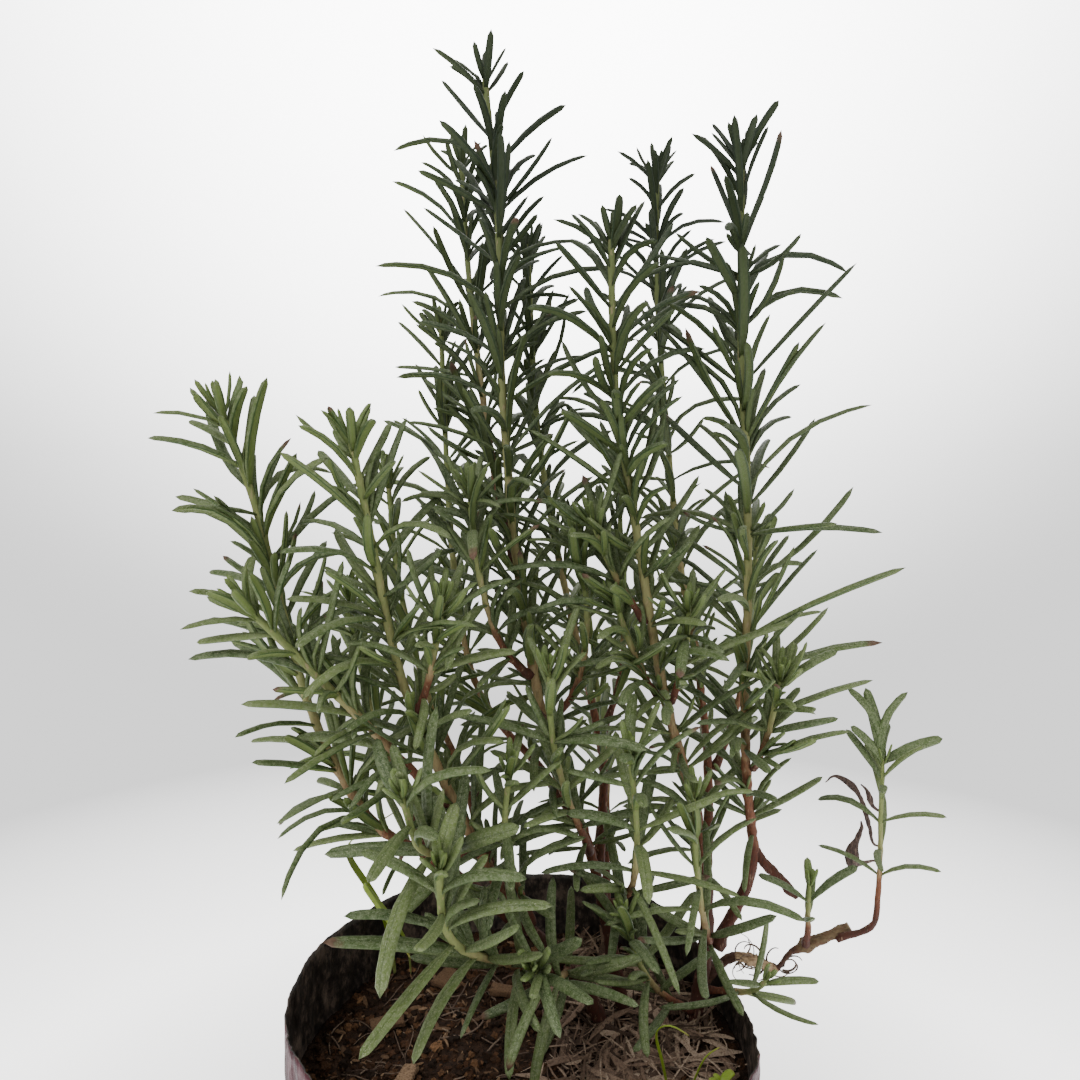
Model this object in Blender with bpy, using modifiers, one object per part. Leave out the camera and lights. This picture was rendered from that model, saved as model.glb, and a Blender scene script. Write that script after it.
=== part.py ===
"""A young rosemary plant in a soft nursery bag, in metres, +Z up.

The origin is the middle of the bag's flat underside. Lengths below are in
millimetres and each finished mesh is scaled to metres. Every shoot is one
object: a tapering stem, with its leaves drawn out of the stem's side faces
in opposite pairs, each pair a quarter turn from the one below.
"""

import math
import random
from collections import namedtuple

import bmesh
import bpy
from mathutils import Matrix, Vector, noise
from mathutils.bvhtree import BVHTree

METRES = 0.001

# Bag
BAG_RADIUS = 75.0
BAG_FOOT_RADIUS = 67.0
BAG_WALL = 1.2
BAG_SIDES = 40
RIM_HEIGHT = 149.0
WALL_LEVELS = (3.0, 12.0, 40.0, 80.0, 112.0, 130.0)

# Soil
SOIL_GAP = 0.4
SOIL_HEIGHT = 121.0
SOIL_RINGS = (0.2, 0.4, 0.6, 0.8, 0.93)

# Clearances
GAP = 0.3
LEAF_GAP = 0.22

# Leaves
LEAF_THICKNESS = 0.95
BELLY_AT = 0.55
ROOT_HEIGHT = 1.7

Shoot = namedtuple("Shoot", "name parent base tip bare leaf width step points")

SHOOTS = (
    # name, parent, base radius, tip radius, bare length, leaf length, leaf width, pair spacing, route
    Shoot("shoot_left", None, 2.9, 1.2, 74, 27, 3.6, 7.8,
          ((29, 21, 110), (25, 18, 128), (14, 12, 148), (-1, 3, 171), (-14, -8, 201), (-27, -16, 235),
           (-35, -21, 262), (-40, -27, 296), (-45, -30, 328))),
    Shoot("shoot_tall", None, 2.7, 1.1, 72, 28, 3.3, 7.4,
          ((38, 26, 110), (34, 24, 130), (27, 20, 168), (20, 15, 195), (11, 11, 217), (4, 8, 249),
           (-2, 5, 290), (-6, 5, 340), (-7, 5, 390), (-11, 5, 434))),
    Shoot("shoot_right", None, 2.9, 1.1, 70, 27, 3.5, 7.6,
          ((56, 15, 110), (60, 19, 126), (64, 22, 148), (63, 20, 170), (59, 15, 198), (52, 8, 221), (45, 3, 245),
           (39, -3, 273), (33, -8, 305), (27, -12, 340), (25, -14, 384))),
    Shoot("shoot_far_left", "shoot_left", 2.1, 1.2, 40, 28, 3.8, 8.0,
          ((3, 5, 165), (-12, 3, 178), (-27, 0, 192), (-47, -5, 208), (-62, -8, 239), (-70, -11, 273),
           (-76, -14, 306), (-85, -16, 336))),
    Shoot("shoot_right_tall", "shoot_right", 2.3, 1.1, 46, 30, 3.5, 7.8,
          ((64, 22, 142), (74, 24, 160), (79, 20, 182), (74, 12, 214), (71, 6, 246), (70, 2, 280), (68, 0, 318),
           (65, -2, 350), (63, -4, 408))),
    Shoot("shoot_right_back", "shoot_right", 1.9, 1.1, 52, 26, 3.3, 8.6,
          ((63, 20, 163), (68, 44, 205), (64, 52, 248), (58, 56, 282), (53, 60, 330), (49, 62, 378),
           (48, 62, 426))),
    Shoot("shoot_centre_back", "shoot_tall", 1.9, 1.1, 34, 25, 3.2, 9.0,
          ((25, 19, 177), (28, 31, 199), (27, 36, 219), (17, 42, 262), (9, 45, 301), (4, 46, 338), (1, 46, 394))),
    Shoot("shoot_left_upper", "shoot_tall", 1.7, 1.1, 12, 26, 3.2, 7.8,
          ((-2, 6, 284), (-8, 20, 308), (-14, 34, 340), (-19, 43, 380), (-22, 46, 424))),
    Shoot("shoot_left_back", "shoot_tall", 1.8, 1.1, 24, 26, 3.3, 9.0,
          ((20, 16, 195), (6, 28, 211), (-15, 38, 233), (-24, 45, 264), (-28, 49, 310), (-30, 50, 369))),
    Shoot("shoot_left_low", "shoot_left", 1.7, 1.2, 16, 27, 3.9, 8.2,
          ((-15, -8, 202), (-27, -17, 223), (-39, -23, 240), (-52, -29, 257), (-73, -38, 284))),
    Shoot("shoot_front_low", "shoot_left", 1.7, 1.2, 22, 31, 4.8, 8.0,
          ((15, 12, 146), (6, 2, 153), (-7, -18, 170), (-16, -34, 184), (-20, -44, 198), (-20, -52, 219))),
    Shoot("shoot_front_mid", "shoot_left", 1.6, 1.1, 9, 28, 4.6, 8.0,
          ((-13, -7, 199), (-20, -22, 206), (-27, -38, 216), (-30, -48, 236))),
    Shoot("shoot_front_hang", "shoot_left", 1.5, 1.1, 9, 28, 4.5, 8.0,
          ((15, 13, 147), (14, -4, 157), (9, -22, 166), (3, -38, 182))),
    Shoot("shoot_front_small", "shoot_left", 1.4, 1.0, 12, 21, 3.6, 8.0,
          ((5, 6, 162), (1, -2, 178), (-3, -8, 193), (-5, -16, 211), (-3, -24, 234))),
    Shoot("shoot_left_mid", "shoot_left", 1.3, 1.0, 5, 19, 3.4, 8.0,
          ((-30, -19, 246), (-26, -25, 257), (-23, -29, 270), (-20, -33, 284))),
    Shoot("shoot_mid_left", "shoot_right", 1.3, 1.0, 6, 22, 3.4, 8.5,
          ((40, -2, 266), (33, -6, 277), (26, -10, 289), (20, -14, 304))),
    Shoot("shoot_mid_low", "shoot_right", 1.3, 1.0, 6, 22, 3.5, 8.5,
          ((45, 4, 240), (39, -1, 251), (33, -6, 264), (27, -10, 280))),
    Shoot("shoot_mid_right", "shoot_right", 1.3, 1.0, 5, 21, 3.4, 8.5,
          ((46, 4, 241), (48, -3, 251), (49, -9, 264), (49, -14, 279))),
    Shoot("shoot_right_side", "shoot_right_tall", 1.3, 1.0, 6, 21, 3.3, 8.5,
          ((74, 12, 214), (77, 5, 227), (78, -1, 240), (79, -6, 256))),
    Shoot("shoot_low_centre", "shoot_tall", 1.5, 1.0, 10, 25, 3.8, 9.0,
          ((23, 17, 185), (20, 4, 198), (14, -8, 216), (9, -17, 240), (8, -21, 262))),
    Shoot("shoot_low_mid", "shoot_tall", 1.5, 1.0, 10, 25, 3.9, 9.0,
          ((27, 20, 165), (33, 6, 176), (35, -8, 192), (34, -17, 214), (31, -22, 238))),
    Shoot("shoot_low_right", "shoot_right", 1.5, 1.0, 10, 24, 3.8, 9.0,
          ((64, 22, 150), (62, 8, 160), (57, -5, 176), (53, -12, 198), (51, -16, 222))),
    Shoot("shoot_inner_left", "shoot_tall", 1.4, 1.0, 10, 24, 3.4, 9.5,
          ((4, 8, 249), (-6, -2, 262), (-12, -10, 284), (-15, -15, 314))),
    Shoot("shoot_inner_right", "shoot_tall", 1.4, 1.0, 10, 24, 3.4, 9.5,
          ((8, 10, 232), (17, 4, 248), (20, -1, 270), (17, -3, 298))),
    Shoot("shoot_foot_left", "shoot_right", 1.4, 1.0, 12, 25, 4.4, 9.0,
          ((60, 18, 126), (47, 9, 140), (38, -1, 157), (31, -8, 180))),
    Shoot("shoot_foot_right", "shoot_right", 1.4, 1.1, 7, 20, 3.6, 7.0,
          ((62, 20, 134), (70, 12, 139), (75, 2, 146), (78, -6, 156))),
    Shoot("shoot_back_left", "shoot_left", 1.6, 1.1, 22, 24, 3.4, 11.5,
          ((-10, -5, 192), (-20, 14, 214), (-34, 28, 240), (-44, 36, 275), (-48, 38, 315))),
    Shoot("shoot_back_low", "shoot_tall", 1.6, 1.1, 18, 24, 3.6, 11.5,
          ((28, 21, 160), (30, 38, 178), (31, 54, 200), (28, 64, 230), (24, 68, 266))),
    Shoot("shoot_back_right", "shoot_right_back", 1.5, 1.1, 12, 23, 3.4, 11.5,
          ((67, 40, 200), (79, 52, 222), (86, 59, 252), (88, 60, 292))),
    Shoot("shoot_back_mid", "shoot_centre_back", 1.5, 1.1, 12, 23, 3.4, 11.5,
          ((27, 36, 219), (36, 52, 238), (38, 64, 266), (36, 68, 306))),
    Shoot("shoot_back_far", "shoot_far_left", 1.5, 1.1, 14, 23, 3.4, 11.5,
          ((-30, 0, 195), (-42, 14, 214), (-54, 24, 240), (-60, 28, 274))),
    Shoot("shoot_droop", "shoot_right_tall", 1.9, 1.5, 400, 20, 3.0, 9.0,
          ((79, 20, 187), (86, 20, 180), (92, 21, 173), (95, 21, 168))),
    Shoot("branch_creeping", "shoot_right", 2.0, 1.4, 400, 20, 3.0, 9.0,
          ((64, 22, 136), (70, 23, 143), (78, 21, 146), (87, 22, 141), (94, 21, 146), (103, 21, 152),
           (114, 21, 157))),
    Shoot("sprig_creeping", "branch_creeping", 1.2, 1.0, 13, 17, 5.0, 6.5,
          ((98, 21, 149), (98, 17, 156), (97, 15, 166), (97, 14, 178))),
    Shoot("twig_creeping", "branch_creeping", 1.1, 0.9, 32, 20, 3.6, 9.0,
          ((108, 21, 155), (114, 16, 155), (119, 14, 162), (120, 13, 182), (119, 12, 200), (118, 10, 222))),
)

Chip = namedtuple("Chip", "x y long wide thick turn")
CHIPS = (
    Chip(-48, 18, 13, 7, 2.2, 20), Chip(-38, -6, 11, 6, 2.0, 75), Chip(-8, 34, 12, 6, 2.4, -15),
    Chip(-22, -32, 14, 6, 2.0, 110), Chip(-56, -14, 9, 6, 2.2, 40), Chip(-4, -48, 10, 7, 2.0, -35),
    Chip(-30, 40, 12, 7, 2.2, 60), Chip(6, -18, 10, 5, 1.8, 15),
)
STRAWS = (
    Chip(34, -22, 34, 2.4, 1.2, 15), Chip(46, -36, 30, 2.0, 1.2, -40), Chip(24, -40, 28, 2.2, 1.2, 70),
    Chip(30, -56, 26, 2.0, 1.0, -10), Chip(40, 4, 24, 2.2, 1.2, -62), Chip(14, 50, 26, 2.0, 1.2, 30),
    Chip(40, 46, 28, 2.2, 1.2, -35),
)

Blade = namedtuple("Blade", "name width thick points")
BLADES = (
    Blade("grass_left", 4.2, 0.6, ((-50, 44, 121), (-54, 42, 150), (-66, 36, 177), (-58, 32, 186), (-44, 30, 196))),
    Blade("grass_left_low", 3.6, 0.6, ((-44, 44, 121), (-46, 42, 140), (-60, 34, 166), (-48, 22, 158), (-38, 12, 150))),
    Blade("grass_right", 1.6, 0.6, ((46, -14, 118), (43, -18, 136), (40, -22, 150), (44, -24, 154), (50, -24, 150))),
    Blade("grass_right_low", 1.4, 0.6, ((50, -18, 118), (51, -22, 132), (54, -26, 145), (58, -28, 150))),
)
SEEDLING = Shoot("seedling", None, 0.7, 0.6, 9, 9, 3.4, 4.0, ((60, -16, 118.5), (60, -17, 124), (61, -18, 131)))

SLOT_COLOURS = {
    "film": (0.012, 0.011, 0.012, 0.45),
    "soil": (0.035, 0.020, 0.012, 0.95),
    "foliage": (0.075, 0.120, 0.052, 0.55),
    "bark": (0.190, 0.105, 0.058, 0.85),
    "chip": (0.210, 0.125, 0.070, 0.85),
    "straw": (0.230, 0.180, 0.130, 0.85),
    "grass": (0.200, 0.330, 0.045, 0.50),
}


def start_empty():
    """Clears the scene and makes one collection for the plant and one for the cutters."""
    for thing in list(bpy.data.objects):
        bpy.data.objects.remove(thing)
    for name in ("potted_rosemary", "cutters"):
        group = bpy.data.collections.new(name)
        bpy.context.scene.collection.children.link(group)


def material(slot, name):
    red, green, blue, rough = SLOT_COLOURS[slot]
    made = bpy.data.materials.new(name)
    made.use_nodes = True
    shader = made.node_tree.nodes["Principled BSDF"]
    shader.inputs["Base Color"].default_value = (red, green, blue, 1.0)
    shader.inputs["Roughness"].default_value = rough
    return made


def finish(bm, name, slot, group="potted_rosemary", sharp=40.0):
    """Scales the mesh to metres, turns its faces outward and adds it to its collection."""
    bmesh.ops.recalc_face_normals(bm, faces=bm.faces)
    bmesh.ops.scale(bm, vec=(METRES, METRES, METRES), verts=bm.verts)
    mesh = bpy.data.meshes.new(name)
    bm.to_mesh(mesh)
    bm.free()
    mesh.materials.append(material(slot, name))
    mesh.shade_smooth()
    mesh.set_sharp_from_angle(angle=math.radians(sharp))
    made = bpy.data.objects.new(name, mesh)
    bpy.data.collections[group].objects.link(made)
    return made


# ---- bag and soil ----

def rim_height(turn):
    """The rim stands 9 mm higher at the front left and sags 16 mm at the right, behind the middle."""
    front_left = math.exp(-((math.degrees(turn) + 140) / 26) ** 2)
    right = math.exp(-((math.degrees(turn) - 14) / 24) ** 2)
    ripple = 1.3 * math.sin(3 * turn + 0.6) + 0.9 * math.sin(7 * turn)
    return RIM_HEIGHT + 9 * front_left - 15 * right + ripple


def bag_radius(turn, height):
    """The wall swells from its foot, with soft creases that fade out at the foot."""
    swell = BAG_FOOT_RADIUS + (BAG_RADIUS - BAG_FOOT_RADIUS) * min(1.0, height / 95.0) ** 0.5
    crease = 0.9 * math.sin(5 * turn + height * 0.035) + 0.5 * math.sin(11 * turn - height * 0.05)
    return swell + crease * min(1.0, height / 60.0)


def around(sides):
    return [2 * math.pi * step / sides - math.pi for step in range(sides)]


def raise_ring(bm, edges, place):
    """Extrudes a loop of edges and puts each new point where place(turn) says."""
    made = bmesh.ops.extrude_edge_only(bm, edges=edges)["geom"]
    for vert in [item for item in made if isinstance(item, bmesh.types.BMVert)]:
        vert.co = place(math.atan2(vert.co.y, vert.co.x))
    return [item for item in made if isinstance(item, bmesh.types.BMEdge) and item.is_boundary]


def round_base(bm, radius, height):
    """A flat disc at this height; returns the edges round it."""
    turned = Matrix.Translation((0, 0, height)) @ Matrix.Rotation(math.radians(1.5), 4, "Z")
    bmesh.ops.create_circle(bm, cap_ends=True, segments=BAG_SIDES, radius=radius, matrix=turned)
    return [edge for edge in bm.edges if edge.is_boundary]


def on_wall(turn, height, inward=0.0):
    radius = bag_radius(turn, height) - inward
    return Vector((radius * math.cos(turn), radius * math.sin(turn), height))


def bag():
    bm = bmesh.new()
    edges = round_base(bm, BAG_FOOT_RADIUS - 3.0, 0.0)
    for level in WALL_LEVELS:
        edges = raise_ring(bm, edges, lambda turn: on_wall(turn, level))
    raise_ring(bm, edges, lambda turn: on_wall(turn, rim_height(turn)))
    bmesh.ops.recalc_face_normals(bm, faces=bm.faces)
    made = finish(bm, "grow_bag", "film")
    wall = made.modifiers.new("wall", "SOLIDIFY")
    wall.thickness = BAG_WALL * METRES
    wall.offset = -1.0
    wall.use_even_offset = True
    return made


def soil_height(x, y):
    """The surface climbs a little to the back and to the right-hand stem, with low lumps."""
    slope = 0.05 * y
    mound = 3.5 * math.exp(-((x - 58) ** 2 + (y - 16) ** 2) / 900)
    lumps = 2.2 * noise.noise(Vector((x * 0.045, y * 0.045, 3.1)))
    return SOIL_HEIGHT - 1.5 + slope + mound + lumps


def on_soil(turn, share):
    inward = BAG_WALL + SOIL_GAP
    radius = share * (bag_radius(turn, SOIL_HEIGHT) - inward)
    x = radius * math.cos(turn)
    y = radius * math.sin(turn)
    return Vector((x, y, soil_height(x, y)))


def socket(bm_cutter, shoot):
    """A cone-shaped hole for the foot of a stem, a little wider than the stem."""
    foot = Vector(shoot.points[0])
    above = Vector(shoot.points[1])
    way = (above - foot).normalized()
    turned = way.to_track_quat("Z", "Y").to_matrix().to_4x4()
    middle = Matrix.Translation(foot + way * 13.0)
    bmesh.ops.create_cone(
        bm_cutter, cap_ends=True, segments=8, radius1=shoot.base + 0.6,
        radius2=shoot.base + 1.1, depth=30.0, matrix=middle @ turned)


def soil():
    bm = bmesh.new()
    inward = BAG_WALL + SOIL_GAP
    edges = round_base(bm, BAG_FOOT_RADIUS - 5.4, inward)
    for level in WALL_LEVELS[1:5]:
        edges = raise_ring(bm, edges, lambda turn: on_wall(turn, level, inward))
    edges = raise_ring(bm, edges, lambda turn: on_soil(turn, 1.0))
    for share in reversed(SOIL_RINGS):
        edges = raise_ring(bm, edges, lambda turn: on_soil(turn, share))
    bmesh.ops.contextual_create(bm, geom=edges)
    middle = max(bm.faces, key=lambda face: (len(face.verts), face.calc_center_median().z))
    centre = bmesh.ops.poke(bm, faces=[middle])["verts"][0]
    centre.co.z = soil_height(0, 0)
    made = finish(bm, "soil", "soil")
    for shoot in SHOOTS:
        if shoot.parent is None:
            cutter_mesh = bmesh.new()
            socket(cutter_mesh, shoot)
            cutter = finish(cutter_mesh, "socket_" + shoot.name, "soil", "cutters")
            cutter.hide_render = True
            cutter.display_type = "WIRE"
            cut = made.modifiers.new("socket", "BOOLEAN")
            cut.operation = "DIFFERENCE"
            cut.solver = "EXACT"
            cut.object = cutter
    return made


# ---- routes ----

class Route:
    """A smooth line through a shoot's points, with a frame that turns slowly along it."""

    def __init__(self, points, twist, flat=None):
        self.places = self.smooth([Vector(point) for point in points])
        self.lengths = [0.0]
        for one, other in zip(self.places, self.places[1:]):
            self.lengths.append(self.lengths[-1] + (other - one).length)
        self.length = self.lengths[-1]
        self.twist = twist
        self.sides = self.frames(flat)

    @staticmethod
    def smooth(points):
        ends = [points[0] * 2 - points[1]] + points + [points[-1] * 2 - points[-2]]
        line = []
        for before, one, other, after in zip(ends, ends[1:], ends[2:], ends[3:]):
            count = max(4, int((other - one).length))
            for step in range(count):
                t = step / count
                line.append(0.5 * (2 * one + (other - before) * t + (2 * before - 5 * one + 4 * other - after) * t * t
                                   + (3 * one - before - 3 * other + after) * t ** 3))
        line.append(points[-1])
        return line

    def way(self, index):
        low = max(0, index - 1)
        high = min(len(self.places) - 1, index + 1)
        return (self.places[high] - self.places[low]).normalized()

    def frames(self, flat):
        side = (flat or Vector((1, 0, 0))).cross(self.way(0)).normalized()
        sides = []
        for index in range(len(self.places)):
            way = self.way(index)
            side = (side - way * side.dot(way)).normalized()
            sides.append(side)
        return sides

    def index_at(self, along):
        index = 0
        while index < len(self.lengths) - 2 and self.lengths[index + 1] < along:
            index += 1
        return index

    def at(self, along):
        """(place, way, side) at this length from the start."""
        along = min(max(along, 0.0), self.length)
        index = self.index_at(along)
        share = (along - self.lengths[index]) / max(1e-6, self.lengths[index + 1] - self.lengths[index])
        place = self.places[index].lerp(self.places[index + 1], share)
        way = self.way(index).lerp(self.way(index + 1), share).normalized()
        side = self.sides[index].lerp(self.sides[index + 1], share)
        side = Matrix.Rotation(self.twist * along, 3, way) @ (side - way * side.dot(way)).normalized()
        return place, way, side

    def nearest(self, place):
        index = min(range(len(self.places)), key=lambda i: (self.places[i] - place).length)
        return index, self.places[index]


def radius_at(shoot, route, along):
    share = min(1.0, max(0.0, along / route.length))
    return shoot.tip + (shoot.base - shoot.tip) * (1 - share) ** 1.3


def ring_matrix(route, along, wide, thick):
    """Maps a unit circle to the stem's section at this length."""
    place, way, side = route.at(along)
    other = way.cross(side)
    turned = Matrix((side * wide, other * thick, way)).transposed().to_4x4()
    return Matrix.Translation(place) @ turned


def corner_distance(place, parent, parent_route):
    index, near = parent_route.nearest(place)
    radius = radius_at(parent, parent_route, parent_route.lengths[index])
    return (place - near).length - radius


def start_outside(shoot, route, parent, parent_route):
    """The first length at which the whole section stands clear of the parent stem."""
    along = 0.0
    while along < route.length * 0.6:
        ring = ring_matrix(route, along, shoot.base, shoot.base)
        corners = [ring @ Vector((math.cos(turn), math.sin(turn), 0)) for turn in around(8)]
        if min(corner_distance(corner, parent, parent_route) for corner in corners) > GAP:
            return along
        along += 0.25
    return along


# ---- leaves ----

Leaf = namedtuple("Leaf", "along face root belly tip across over wide")


def aim_leaf(shoot, route, along, turn, angle, swing, bend, roll, length, wide):
    """A leaf's root, belly and tip. turn is 0 to 3, for the four side faces."""
    place, way, side = route.at(along)
    other = way.cross(side)
    outward = (side, other, -side, -other)[turn]
    root = place + outward * radius_at(shoot, route, along) * math.sqrt(0.5)
    outward = Matrix.Rotation(swing, 3, way) @ outward
    across = way.cross(outward).normalized()
    ahead = way * math.cos(angle) + outward * math.sin(angle)
    over = way * math.sin(angle) - outward * math.cos(angle)
    ahead = (ahead + across * math.tan(roll * 0.35)).normalized()
    first = ahead * math.cos(bend * 0.3) - over * math.sin(bend * 0.3)
    last = ahead * math.cos(bend * 0.8) - over * math.sin(bend * 0.8)
    belly = root + first * length * BELLY_AT
    tip = belly + last * length * (1 - BELLY_AT)
    middle = (first + last).normalized()
    across = (across - middle * across.dot(middle)).normalized()
    across = Matrix.Rotation(roll, 3, middle) @ across
    over = across.cross(middle).normalized()
    if over.dot(way) < 0:
        over = -over
    return Leaf(along, turn, root, belly, tip, across, over, wide)


def leaf_shell(leaf, extra):
    """The leaf as a tree of triangles, grown by extra on all sides, from just clear of its own stem."""
    neck = leaf.root.lerp(leaf.belly, 0.03)
    points = []
    for centre, wide, thick in ((neck, leaf.wide * 0.6, LEAF_THICKNESS), (leaf.belly, leaf.wide, LEAF_THICKNESS)):
        for right, up in ((1, 1), (-1, 1), (-1, -1), (1, -1)):
            points.append(centre + leaf.across * right * (wide / 2 + extra) + leaf.over * up * (thick / 2 + extra))
    points.append(leaf.tip + (leaf.tip - leaf.belly).normalized() * extra * 3)
    faces = [(0, 1, 2, 3)]
    faces += [(i, (i + 1) % 4, 4 + (i + 1) % 4, 4 + i) for i in range(4)]
    faces += [(4 + i, 4 + (i + 1) % 4, 8) for i in range(4)]
    return BVHTree.FromPolygons(points, faces), points


class Room:
    """What already takes up space: trees of triangles with a centre and a reach."""

    def __init__(self):
        self.taken = []

    def add(self, tree, points, owner):
        centre = sum(points, Vector()) / len(points)
        reach = max((point - centre).length for point in points)
        self.taken.append((tree, centre, reach, owner))

    def free(self, tree, points, owner):
        centre = sum(points, Vector()) / len(points)
        reach = max((point - centre).length for point in points)
        for other, middle, far, name in self.taken:
            if name == owner or (middle - centre).length > reach + far:
                continue
            if other.overlap(tree):
                return False
        return True


def over_soil(points):
    for point in points:
        if point.z < soil_height(point.x, point.y) + 1.5:
            return False
        radius = math.hypot(point.x, point.y)
        if point.z < 162 and abs(radius - BAG_RADIUS) < 4.5 and point.z < rim_height(math.atan2(point.y, point.x)) + 3:
            return False
    return True


def envelope(shoot, share, chance):
    """(length, angle, bend) of a leaf at this share of the leafy part."""
    young = max(0.0, (share - 0.86) / 0.14)
    length = shoot.leaf * (0.86 + 0.26 * math.sin(math.pi * min(1.0, share * 1.15))) * (1 - 0.55 * young)
    length *= chance.uniform(0.82, 1.2)
    angle = 60 - 16 * share + chance.uniform(-14, 14)
    angle *= 1 - 0.6 * young
    bend = chance.uniform(-22, 46) * (1 - 0.5 * young)
    return length, angle, bend


def plan_leaves(shoot, route, start, room):
    chance = random.Random(shoot.name)
    along = max(start + 3.0, start + shoot.bare)
    leaves = []
    stations = []
    pair = 0
    while along < route.length - 2.5:
        share = (along - shoot.bare) / max(1.0, route.length - shoot.bare)
        length, angle, bend = envelope(shoot, share, chance)
        grown = []
        for turn in (pair % 2, pair % 2 + 2):
            for attempt in range(16):
                loose = 2.2 * attempt
                leaf = aim_leaf(
                    shoot, route, along, turn,
                    math.radians(max(12.0, angle + chance.uniform(-10 - loose, 10 + loose))),
                    math.radians(chance.uniform(-17 - loose, 17 + loose)),
                    math.radians(bend + chance.uniform(-10 - loose, 10 + loose)),
                    math.radians(chance.uniform(-16 - loose, 16 + loose)),
                    length * chance.uniform(0.9, 1.08) * (1 - 0.025 * attempt),
                    shoot.width * (0.7 + 0.3 * min(1.0, length / shoot.leaf)))
                tree, points = leaf_shell(leaf, LEAF_GAP)
                if over_soil(points) and room.free(tree, points, shoot.name):
                    room.add(tree, points, None)
                    grown.append(leaf)
                    break
        if grown:
            leaves += grown
            stations.append(along)
        gap = shoot.step * (1.08 - 0.16 * share) * chance.uniform(0.88, 1.12)
        young = max(0.0, (share - 0.8) / 0.2)
        along += max(ROOT_HEIGHT + 1.2, gap * (1 - 0.5 * young))
        pair += 1
    return leaves, stations


# ---- stems ----

def new_ring(bm, matrix, sides):
    square = Matrix.Rotation(math.pi / 4, 4, "Z") if sides == 4 else Matrix.Identity(4)
    made = bmesh.ops.create_circle(bm, segments=sides, radius=1.0, matrix=matrix @ square)["verts"]
    return list({edge for vert in made for edge in vert.link_edges})


def next_ring(bm, edges, old, new):
    """Extrudes the open end of the tube to the next section; returns its edges and side faces."""
    made = bmesh.ops.extrude_edge_only(bm, edges=edges)["geom"]
    verts = [item for item in made if isinstance(item, bmesh.types.BMVert)]
    bmesh.ops.transform(bm, matrix=new @ old.inverted(), verts=verts)
    ends = [item for item in made if isinstance(item, bmesh.types.BMEdge) and item.is_boundary]
    sides = [item for item in made if isinstance(item, bmesh.types.BMFace)]
    return ends, sides


def woody_part(bm, shoot, route, start, end):
    """The leafless, eight-sided part of a stem; returns the edges of its open end."""
    steps = max(1, round((end - start) / 15.0))
    spots = [start + (end - start) * step / steps for step in range(steps + 1)]
    rings = [ring_matrix(route, s, radius_at(shoot, route, s), radius_at(shoot, route, s)) for s in spots]
    edges = new_ring(bm, rings[0], 8)
    for old, new in zip(rings, rings[1:]):
        edges, _ = next_ring(bm, edges, old, new)
    return edges


def grow_leaf(bm, face, leaf):
    """Draws one leaf out of a side face of the stem."""
    way = leaf.over
    made = bmesh.ops.extrude_discrete_faces(bm, faces=[face])["faces"][0]
    centre = made.calc_center_median()
    for vert in made.verts:
        right = 1 if (vert.co - centre).dot(leaf.across) > 0 else -1
        up = 1 if (vert.co - centre).dot(way) > 0 else -1
        vert.co = (leaf.belly + leaf.across * right * leaf.wide / 2
                   + leaf.over * up * LEAF_THICKNESS / 2)
    bmesh.ops.poke(bm, faces=[made])["verts"][0].co = leaf.tip


def leafy_part(bm, shoot, route, edges, start, leaves, stations):
    """The four-sided part: a short ring for each pair of leaves, and a plain length between."""
    spots = [(start, None)]
    for along in stations:
        spots.append((along - ROOT_HEIGHT / 2, None))
        spots.append((along + ROOT_HEIGHT / 2, along))
    spots.append((route.length, None))
    rings = [ring_matrix(route, s, radius_at(shoot, route, s), radius_at(shoot, route, s)) for s, _ in spots]
    rings[-1] = ring_matrix(route, route.length, shoot.tip * 0.6, shoot.tip * 0.6)
    square = new_ring(bm, rings[0], 4)
    if edges:
        bmesh.ops.bridge_loops(bm, edges=edges + square)
    edges = square
    roots = []
    for (_, along), old, new in zip(spots[1:], rings, rings[1:]):
        edges, sides = next_ring(bm, edges, old, new)
        for leaf in leaves:
            if along is not None and leaf.along == along:
                face = min(sides, key=lambda item: (item.calc_center_median() - leaf.root).length)
                roots.append((face, leaf))
    for face, leaf in roots:
        grow_leaf(bm, face, leaf)


def build_shoot(shoot, route, start, leaves, stations, slot):
    bm = bmesh.new()
    if stations:
        leafy = stations[0] - ROOT_HEIGHT / 2 - 1.5
        edges = None
        if leafy - start > 9.0:
            edges = woody_part(bm, shoot, route, start, leafy - 4.0)
            start = leafy
        leafy_part(bm, shoot, route, edges, start, leaves, stations)
    else:
        woody_part(bm, shoot, route, start, route.length)
    bmesh.ops.holes_fill(bm, edges=[edge for edge in bm.edges if edge.is_boundary], sides=0)
    return finish(bm, shoot.name, slot)


def stem_shell(shoot, route, start):
    """The bare stem as a tree of triangles, for keeping leaves clear of it."""
    bm = bmesh.new()
    spots = [start + (route.length - start) * step / 24 for step in range(25)]
    rings = [
        ring_matrix(route, s, radius_at(shoot, route, s) + LEAF_GAP + 0.1, radius_at(shoot, route, s) + LEAF_GAP + 0.1)
        for s in spots]
    edges = new_ring(bm, rings[0], 6)
    for old, new in zip(rings, rings[1:]):
        edges, _ = next_ring(bm, edges, old, new)
    bmesh.ops.holes_fill(bm, edges=[edge for edge in bm.edges if edge.is_boundary], sides=0)
    tree = BVHTree.FromBMesh(bm)
    points = [vert.co.copy() for vert in bm.verts]
    bm.free()
    return tree, points


# ---- on the soil ----

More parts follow.
